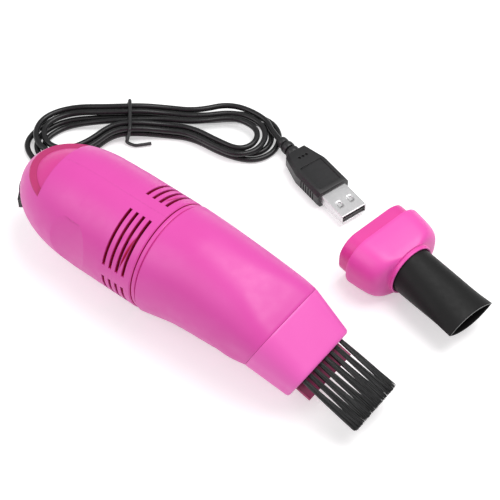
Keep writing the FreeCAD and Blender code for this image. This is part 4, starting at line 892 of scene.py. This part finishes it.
def flow(stations, column, at):
    """Cubic through the stations whose slope at each is the harmonic mean of its two neighbours' slopes."""
    x, values = stations[:, 0], stations[:, column]
    slope = np.diff(values) / np.diff(x)
    product = slope[:-1] * slope[1:]
    total = np.where(product > 0, slope[:-1] + slope[1:], 1.0)
    inner = np.where(product > 0, 2 * product / total, 0.0)
    bend = np.concatenate([[slope[0]], inner, [slope[-1]]])
    k = np.clip(np.searchsorted(x, at, side="left") - 1, 0, len(slope) - 1)
    width = x[k + 1] - x[k]
    t = (at - x[k]) / width
    return (values[k] * (1 + 2 * t) * (1 - t) ** 2 + values[k + 1] * t * t * (3 - 2 * t)
            + bend[k] * width * t * (1 - t) ** 2 - bend[k + 1] * width * t * t * (1 - t))


def barrel_rows(at, inset):
    """Rows of the barrel at places along x, inset by the wall."""
    rise, tilt, width, height, corner = (flow(BARREL_STATIONS, k, at) for k in range(1, 6))
    return [tuple(row) for row in np.column_stack([at, rise, tilt, width - inset, height - inset,
                                                   corner - inset])]


print("barrel at its middle", np.round(barrel_rows(np.array([98.0]), 0.0)[0], 2))

# %% [markdown]
# The barrel is one skin: a liner behind, which goes over the fan cover's spigot, a lip with a groove, the
# outside, the rolled rim at the mouth, and the inside back to the liner.

# %% Dust barrel
WALL, BORE, LIP_RADIUS = 1.8, 18.9, 22.1
SKIN_FROM, ROLL_FROM, INSIDE_TO = 73.6, 122.85, 79.0
OUTSIDE_ROWS, INSIDE_ROWS = 58, 40
RIM_INSETS = (0.15, 0.4, 1.4, 1.7)
lip = [(78.6, BORE), (70.7, BORE), (70.6, BORE + 0.1), (70.6, 21.85), (70.68, 22.03), (70.85, LIP_RADIUS),
       (72.05, LIP_RADIUS), (72.2, 22.03), (72.28, 21.85), (72.32, 21.5), (72.74, 21.45), (72.78, 21.9),
       (72.82, 22.2), (72.95, 22.42)]
outer = barrel_rows(np.concatenate([[73.2], np.linspace(SKIN_FROM, ROLL_FROM, OUTSIDE_ROWS)]), 0.0)
rim = [barrel_rows(np.array([MOUTH_X]), inset)[0] for inset in RIM_INSETS]
inner = barrel_rows(np.linspace(ROLL_FROM, INSIDE_TO, INSIDE_ROWS), WALL)
barrel_grid = rings(round_rows(lip, AXIS_HEIGHT) + outer + rim + inner, per_corner=20, per_side=6)
barrel = new_object("barrel_skin", grid_mesh("barrel_skin", barrel_grid, close_rows=True), "barrel", sharp=30)
dress(barrel, shell_pink)
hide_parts("dust_barrel")
print("barrel has", len(barrel.data.polygons), "faces")

# %% [markdown]
# Both nozzles plug into the barrel's mouth with the same tongue. Its rows run from the throat's edge round
# the tongue's end and along it to the foot of the shoulder that stops it.

# %% Tongue
THROAT_W, THROAT_H, THROAT_C = 15.7, 8.3, 6.8
TONGUE_W, TONGUE_H, TONGUE_C = 17.1, 9.7, 8.2
SHOULDER = (18.8, 11.4, 9.9)
THROAT_EDGE, TONGUE_EDGE = 0.2, 0.4


def tongue_rows(back, foot):
    """Rows of the tongue from its end at back to the shoulder's foot, with its two edges cut off."""
    return [(back + THROAT_EDGE, 0, 0, THROAT_W, THROAT_H, THROAT_C),
            (back, 0, 0, THROAT_W + THROAT_EDGE, THROAT_H + THROAT_EDGE, THROAT_C),
            (back, 0, 0, TONGUE_W - TONGUE_EDGE, TONGUE_H - TONGUE_EDGE, TONGUE_C),
            (back + TONGUE_EDGE, 0, 0, TONGUE_W, TONGUE_H, TONGUE_C),
            (foot, 0, 0, TONGUE_W, TONGUE_H, TONGUE_C),
            (foot, 0, 0, *SHOULDER)]


print("tongue is", 2 * TONGUE_W, "mm wide and", 2 * TONGUE_H, "mm high")

# %% [markdown]
# The brush nozzle's collar follows the drooping mouth. Outside, its flat top meets the near and far sides
# over soft corners, every size runs straight from the rim to the front, and the front edge is rolled.

# %% Brush nozzle collar
COLLAR_LENGTH, COLLAR_DROP = 19.2, 1.2
COLLAR_NARROWS, COLLAR_FLATTENS, COLLAR_SHARPENS = 3.2, 2.9, 3.7
FRONT_ROLL, FRONT_EDGE, COLLAR_WALL, LEAST_CORNER = 1.2, 1.4, 1.6, 0.5
TONGUE_END, COLLAR_FOOT, OUTSIDE_FROM, COLLAR_ROWS = -6.0, 0.02, 1.0, 18


def in_mouth(points):
    """From the mouth's frame, with X out along the drooping nozzle, to the working frame."""
    return turned(points, "y", MOUTH_TILT) + [MOUTH_X, 0, MOUTH_RISE]


def collar_row(x, inset):
    """Section of the collar between its rim and its front: every size runs straight from one to the other."""
    t = x / COLLAR_LENGTH
    return (x, -COLLAR_DROP * t, 0, MOUTH_W - COLLAR_NARROWS * t - inset,
            MOUTH_H - COLLAR_FLATTENS * t - inset,
            max(LEAST_CORNER, MOUTH_C - COLLAR_SHARPENS * t - inset))


roll_from = COLLAR_LENGTH - FRONT_ROLL
collar_rows = tongue_rows(TONGUE_END, COLLAR_FOOT) + [(0.12, 0, 0, 19.08, 11.68, 10.18)]
outside_at = np.concatenate([[0.35], np.linspace(OUTSIDE_FROM, roll_from, COLLAR_ROWS)])
collar_rows += [collar_row(x, 0.0) for x in outside_at]
collar_rows += [collar_row(roll_from + FRONT_ROLL * math.sin(a), 1 - math.cos(a))
                for a in np.radians([20, 40, 60, 80])]
collar_rows += [collar_row(COLLAR_LENGTH, FRONT_EDGE)]
collar_rows += [collar_row(x, COLLAR_WALL) for x in (19.0, 10.0, 1.7)]
collar_rows += [(1.6, 0, 0, THROAT_W, THROAT_H, THROAT_C)]
collar = new_object("brush_collar", grid_mesh("brush_collar", in_mouth(rings(collar_rows)), close_rows=True),
                    "brush_nozzle", sharp=30)
dress(collar, nozzle_pink_painted_light)
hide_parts("nozzle_collar")
print("collar has", len(collar_rows), "rows")

# %% [markdown]
# Each of eight tufts is a bundle of stiff nylon bristles that leaves its hole round and spreads towards its
# tip, until it meets the next one. Hair would be lost in the export, so a bristle is a line of its own: its
# root lies in a round patch, its tip in a wider flat one, and a small bow keeps it from being ruler straight.

# %% Bristle lines
TUFTS, TUFT_PITCH, TUFT_HEIGHT, TUFT_LENGTH = 8, 3.15, 4.0, 26.3
PER_TUFT, STEPS = 84, 8
ROOT_X, ROOT_WIDE, ROOT_HIGH = -3.6, 0.68, 0.85
TIP_BACK, TIP_WIDE, TIP_HIGH = 0.3, 1.85, 1.15
TRIM, LEAN, STRAY, BOW = (-0.3, 0.25), 0.18, (0.12, 0.1), 0.14
FIELD_HALF, ROUND_FROM, ROUND_DEPTH = 12.6, 11.2, 0.9
SPREAD_POWERS = (1.0, 1.9, 1.3)


def bristle_lines(seed):
    """Lines (tuft, bristle, step, 3): root + (tip - root) * t ** power + bow * sin(pi t)."""
    random = np.random.default_rng(seed)
    tuft_y = (np.arange(TUFTS) - (TUFTS - 1) / 2)[:, None] * TUFT_PITCH
    radius = np.sqrt(random.uniform(0, 1, (TUFTS, PER_TUFT)))
    angle = random.uniform(0, 2 * math.pi, (TUFTS, PER_TUFT))
    across, up = radius * np.cos(angle), radius * np.sin(angle)
    root = np.stack([np.full_like(radius, ROOT_X), tuft_y + ROOT_WIDE * across,
                     TUFT_HEIGHT + ROOT_HIGH * up], -1)
    lean = random.normal(0, LEAN, (TUFTS, 1))
    tip_x = TUFT_LENGTH - TIP_BACK + random.uniform(*TRIM, radius.shape)
    tip_y = tuft_y + lean + TIP_WIDE * across + random.normal(0, STRAY[0], radius.shape)
    tip_z = TUFT_HEIGHT + TIP_HIGH * up + random.normal(0, STRAY[1], radius.shape)
    tip_y = np.clip(tip_y, -FIELD_HALF, FIELD_HALF)
    tip_x -= ROUND_DEPTH * np.clip((abs(tip_y) - ROUND_FROM) / (FIELD_HALF - ROUND_FROM), 0, 1) ** 2
    bow = random.normal(0, BOW, (TUFTS, PER_TUFT, 2))
    t = np.linspace(0, 1, STEPS)[:, None]
    line = root[:, :, None] + (np.stack([tip_x, tip_y, tip_z], -1) - root)[:, :, None] * t ** SPREAD_POWERS
    line[..., 1:] += bow[:, :, None] * np.sin(math.pi * t)
    return line


SEED = 7
lines = bristle_lines(SEED)
print(lines.shape[0], "tufts of", lines.shape[1], "bristles")

# %% [markdown]
# A bristle is a thin five-sided tube with a pointed end. There are hundreds of them, so each has only a few
# faces, and all of them are one mesh: the faces of the first are repeated with the numbers moved on.

# %% Brush bristles
SIDES, BRISTLE_RADIUS, NECK_RADIUS, POINT_RADIUS = 5, 0.16, 0.14, 0.07
BRUSH_LIFT = 3.1


def in_brush(points):
    """From the brush's frame on the collar's front plane, a little lifted, to the working frame."""
    return in_mouth(turned(points, "y", -BRUSH_LIFT) + [COLLAR_LENGTH, 0, -COLLAR_DROP])


def many_tubes(name, lines, radius):
    """One mesh of tubes: line(i) + radius(i) * (0, cos a, sin a), each closed at both ends."""
    steps = lines.shape[-2]
    a = np.linspace(0, 2 * math.pi, SIDES, endpoint=False)
    width = radius[:, None]
    section = np.stack([np.zeros((steps, SIDES)), width * np.cos(a), width * np.sin(a)], -1)
    points = (lines[..., None, :] + section).reshape(-1, 3)
    first = np.arange(0, len(points), steps * SIDES)[:, None]
    quads = first[..., None] + grid_quads(steps, SIDES).reshape(-1, 4)
    ends = [first + np.arange(SIDES)[::-1], first + (steps - 1) * SIDES + np.arange(SIDES)]
    mesh = bpy.data.meshes.new(name)
    mesh.from_pydata(in_metres(in_brush(points)).tolist(), [],
                     quads.reshape(-1, 4).tolist() + np.concatenate(ends).tolist())
    return mesh


taper = np.linspace(BRISTLE_RADIUS, NECK_RADIUS, STEPS)
taper[-1] = POINT_RADIUS
brush = new_object("brush_bristles", many_tubes("brush_bristles", lines, taper), "brush_nozzle", sharp=60)
dress(brush, bristle_black)
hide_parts("brush_tufts")
print("bristles have", len(brush.data.polygons), "faces")

# %% [markdown]
# The spare nozzle lies beside the cleaner, turned a little. It has a frame of its own, with X from its
# tongue to its mouth. Two of its surfaces have a second colour, both painted light: the tongue is painted
# deeper in colour as shade, and the edge of the rubber tube's mouth is painted paler as a highlight. The
# faces between two stations get a second material, with no extra piece.

# %% Spare nozzle frame
SPARE_AT, SPARE_YAW = np.array([119.5, 61.8, 11.8]), -9.8


def in_spare(points):
    """From the spare nozzle's frame to the working frame."""
    return turned(points, "z", SPARE_YAW) + SPARE_AT


def paint_band(piece, material, start, end):
    """Give the faces whose middles lie between two stations of the spare nozzle a second material."""
    mesh = piece.data
    mesh.materials.append(material)
    middles = np.empty(len(mesh.polygons) * 3)
    mesh.polygons.foreach_get("center", middles)
    offset = (middles.reshape(-1, 3) - in_metres([0, 0, 0])) / MM - SPARE_AT
    along = turned(offset, "z", -SPARE_YAW)[:, 0]
    band = (along > start) & (along < end)
    mesh.polygons.foreach_set("material_index", band.astype(np.int32))
    return int(band.sum())


print("spare nozzle's tongue ends at", in_spare([0, 0, 0]).round(1))

# %% [markdown]
# The spare collar has the tongue, then swells into round shoulders and ends in a rolled ring with a socket
# for the tube. The shoulders flow through stations, as the barrel does, and the inside is plain.

# %% Spare collar
SPARE_FOOT, SHOULDER_ROWS = 6.0, 34
TONGUE_SHADE_BAND = (-0.5, 6.02)
SHOULDER_STATIONS = np.array([
    (7.5, 19.1, 11.77, 10.2), (11.0, 18.7, 11.6, 10.1), (14.5, 18.2, 11.3, 9.9), (16.3, 17.8, 11.1, 9.8),
    (17.9, 17.15, 10.9, 9.8), (19.2, 16.1, 10.65, 9.8), (20.2, 14.5, 10.4, 9.9), (20.7, 12.8, 10.3, 10.1)])
RING_PROFILE = [(20.9, 11.6), (20.95, 10.95), (21.1, 10.7), (21.5, 10.65), (22.1, 10.8), (22.4, 10.72),
                (22.55, 10.5), (22.5, 10.2), (22.3, 9.95), (22.0, 9.78), (17.0, 9.76), (17.0, 8.5)]
spare_rows = tongue_rows(0.0, SPARE_FOOT)
spare_rows += [(6.1, 0, 0, 19.06, 11.66, 10.16), (6.35, 0, 0, 19.18, 11.78, 10.28)]
at = np.linspace(SHOULDER_STATIONS[0, 0], SHOULDER_STATIONS[-1, 0], SHOULDER_ROWS)
widths, heights, corners = (flow(SHOULDER_STATIONS, k, at) for k in (1, 2, 3))
spare_rows += [(x, 0, 0, w, h, c) for x, w, h, c in zip(at, widths, heights, corners)]
spare_rows += round_rows(RING_PROFILE)
spare_rows += [(12.0, 0, 0, 12.2, 8.6, 8.2), (7.6, 0, 0, THROAT_W, THROAT_H, THROAT_C)]
spare_collar = new_object("spare_shell", grid_mesh("spare_shell", in_spare(rings(spare_rows)),
                                                   close_rows=True), sharp=32)
dress(spare_collar, spare_pink_painted_light)
# Painted shade: the tongue's faces get the darker pink.
tongue_shade_faces = paint_band(spare_collar, tongue_pink_painted_shade, *TONGUE_SHADE_BAND)
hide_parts("spare_collar")
print("the tongue has", tongue_shade_faces, "of", len(spare_collar.data.polygons), "faces")

# %% [markdown]
# The soft rubber tube starts round and is pressed flat at its mouth, where it ends in two bows that meet in
# points. One outline blends from the ellipse to the bows along the tube, so nothing has to be joined.

# %% Rubber tube
TUBE_FROM, TUBE_SPAN = 22.5, 30.9
TUBE_RADIUS, LIPS_W, LIPS_H = 9.65, 11.4, 4.0
TUBE_WALL, WALL_FADES = 1.1, 0.5
OUTER_ROWS, INNER_ROWS = 40, 24
HIGHLIGHT_BAND = (53.36, 53.5)


def eye(half_width, half_height, sharpness=1.0, per_bow=40):
    """Blend of an ellipse (0) and two bows that meet in points (1), of radius (w * w + h * h) / 2h."""
    r = (half_width ** 2 + half_height ** 2) / (2 * half_height)
    reach = math.asin(min(1.0, half_width / r))
    q = np.linspace(-1, 1, per_bow, endpoint=False)
    bow = np.column_stack([-r * np.sin(reach * q), r * np.cos(reach * q) - (r - half_height)])
    a = q * math.pi / 2
    top = np.column_stack([-half_width * np.sin(a), half_height * np.cos(a)])
    top = top + (bow - top) * sharpness
    return np.concatenate([top, -top])


def tube_rows(start, end, wall, count, fade=0.0):
    """Rows from round to flat: both half sizes run straight, and the pointed share grows as t squared."""
    rows = []
    for t in np.linspace(start, end, count):
        inset = wall - fade * t
        wide = TUBE_RADIUS + (LIPS_W - TUBE_RADIUS) * t - inset
        high = TUBE_RADIUS + (LIPS_H - TUBE_RADIUS) * t - inset
        rows.append((TUBE_FROM + TUBE_SPAN * t, 0, 0, wide, high, t * t))
    return rows


rubber_rows = [(17.1, 0, 0, 8.6, 8.6, 0), (17.0, 0, 0, 8.7, 8.7, 0), (17.0, 0, 0, 9.55, 9.55, 0),
               (17.2, 0, 0, TUBE_RADIUS, TUBE_RADIUS, 0)]
rubber_rows += tube_rows(0.0, 0.995, 0.0, OUTER_ROWS)
rubber_rows += [(53.35, 0, 0, 11.33, 3.95, 1), (53.4, 0, 0, 11.2, 3.82, 1), (53.4, 0, 0, 10.95, 3.55, 1),
                (53.3, 0, 0, 10.85, 3.45, 1)]
rubber_rows += tube_rows(0.98, 0.0, TUBE_WALL, INNER_ROWS, fade=WALL_FADES)
tube = new_object("rubber_tube", grid_mesh("rubber_tube", in_spare(rings(rubber_rows, eye)), close_rows=True),
                  sharp=50)
dress(tube, rubber_black)
# Painted highlight: a pale band along the edge of the tube's mouth.
highlight_faces = paint_band(tube, rubber_painted_highlight, *HIGHLIGHT_BAND)
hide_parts("spare_tube")
print("the cut edge has", highlight_faces, "of", len(tube.data.polygons), "faces")

# %% [markdown]
# The studio is a plain white floor. What the camera sees of the floor is lifted to white, also in
# reflections and through clear things, while the object itself gets only plain light, so its colours stay
# true and its shadow stays on the floor.

# %% Floor
FLOOR_HALF, FLOOR_DROP = 3, 0.0003
FLOOR_GREY, FLOOR_ROUGHNESS, FLOOR_SPECULAR, FLOOR_GLOW = 0.8, 0.9, 0.1, 0.45


def floor_finish():
    """Pale matt material that glows a little for rays that show it: camera, glossy and transmission."""
    material = bpy.data.materials.new("studio_white")
    material.use_nodes = True
    tree = material.node_tree
    base = tree.nodes["Principled BSDF"]
    base.inputs["Base Color"].default_value = (FLOOR_GREY, FLOOR_GREY, FLOOR_GREY, 1)
    base.inputs["Roughness"].default_value = FLOOR_ROUGHNESS
    base.inputs["Specular IOR Level"].default_value = FLOOR_SPECULAR
    glow = node_of(tree, "ShaderNodeEmission", Color=(1, 1, 1, 1), Strength=FLOOR_GLOW)
    both = tree.nodes.new("ShaderNodeAddShader")
    tree.links.new(base.outputs[0], both.inputs[0])
    tree.links.new(glow.outputs[0], both.inputs[1])
    ray = tree.nodes.new("ShaderNodeLightPath").outputs
    shown = combined(tree, "MAXIMUM", ray["Is Camera Ray"], ray["Is Glossy Ray"])
    shown = combined(tree, "MAXIMUM", shown, ray["Is Transmission Ray"])
    choose = tree.nodes.new("ShaderNodeMixShader")
    tree.links.new(shown, choose.inputs["Fac"])
    tree.links.new(base.outputs[0], choose.inputs[1])
    tree.links.new(both.outputs[0], choose.inputs[2])
    tree.links.new(choose.outputs[0], tree.nodes["Material Output"].inputs["Surface"])
    return material


floor_mesh = bpy.data.meshes.new("floor")
floor_corners = [(x * FLOOR_HALF, y * FLOOR_HALF, 0) for x, y in ((-1, -1), (1, -1), (1, 1), (-1, 1))]
floor_mesh.from_pydata(floor_corners, [], [(0, 1, 2, 3)])
floor = bpy.data.objects.new("floor", floor_mesh)
bpy.context.scene.collection.objects.link(floor)
floor.location.z = -FLOOR_DROP
floor_mesh.materials.append(floor_finish())
print("floor is", 2 * FLOOR_HALF, "m wide")

# %% [markdown]
# An even white sky gives most of the light, and two large soft lamps bring out the shapes: a key over the
# cleaner's left side and a fill over its right. Colours then render about as they are written.

# %% Sky and lamps
SKY = 0.44
KEY = ((240.0, 250.0, 700.0), 500.0, 3.8)
FILL = ((-300.0, -500.0, 600.0), 600.0, 2.1)

world = bpy.data.worlds.new("studio")
bpy.context.scene.world = world
world.use_nodes = True
sky = world.node_tree.nodes["Background"]
sky.inputs["Color"].default_value = (1, 1, 1, 1)
sky.inputs["Strength"].default_value = SKY


def soft_lamp(name, place, size, power):
    """Square area lamp, in working-frame millimetres and watts."""
    lamp = bpy.data.lights.new(name, "AREA")
    lamp.size = size * MM
    lamp.energy = power
    thing = bpy.data.objects.new(name, lamp)
    bpy.context.scene.collection.objects.link(thing)
    aim(thing, place, LOOK_AT)


soft_lamp("key", *KEY)
soft_lamp("fill", *FILL)
bpy.context.scene.view_settings.view_transform = "Standard"
print(len(bpy.data.lights), "lamps")
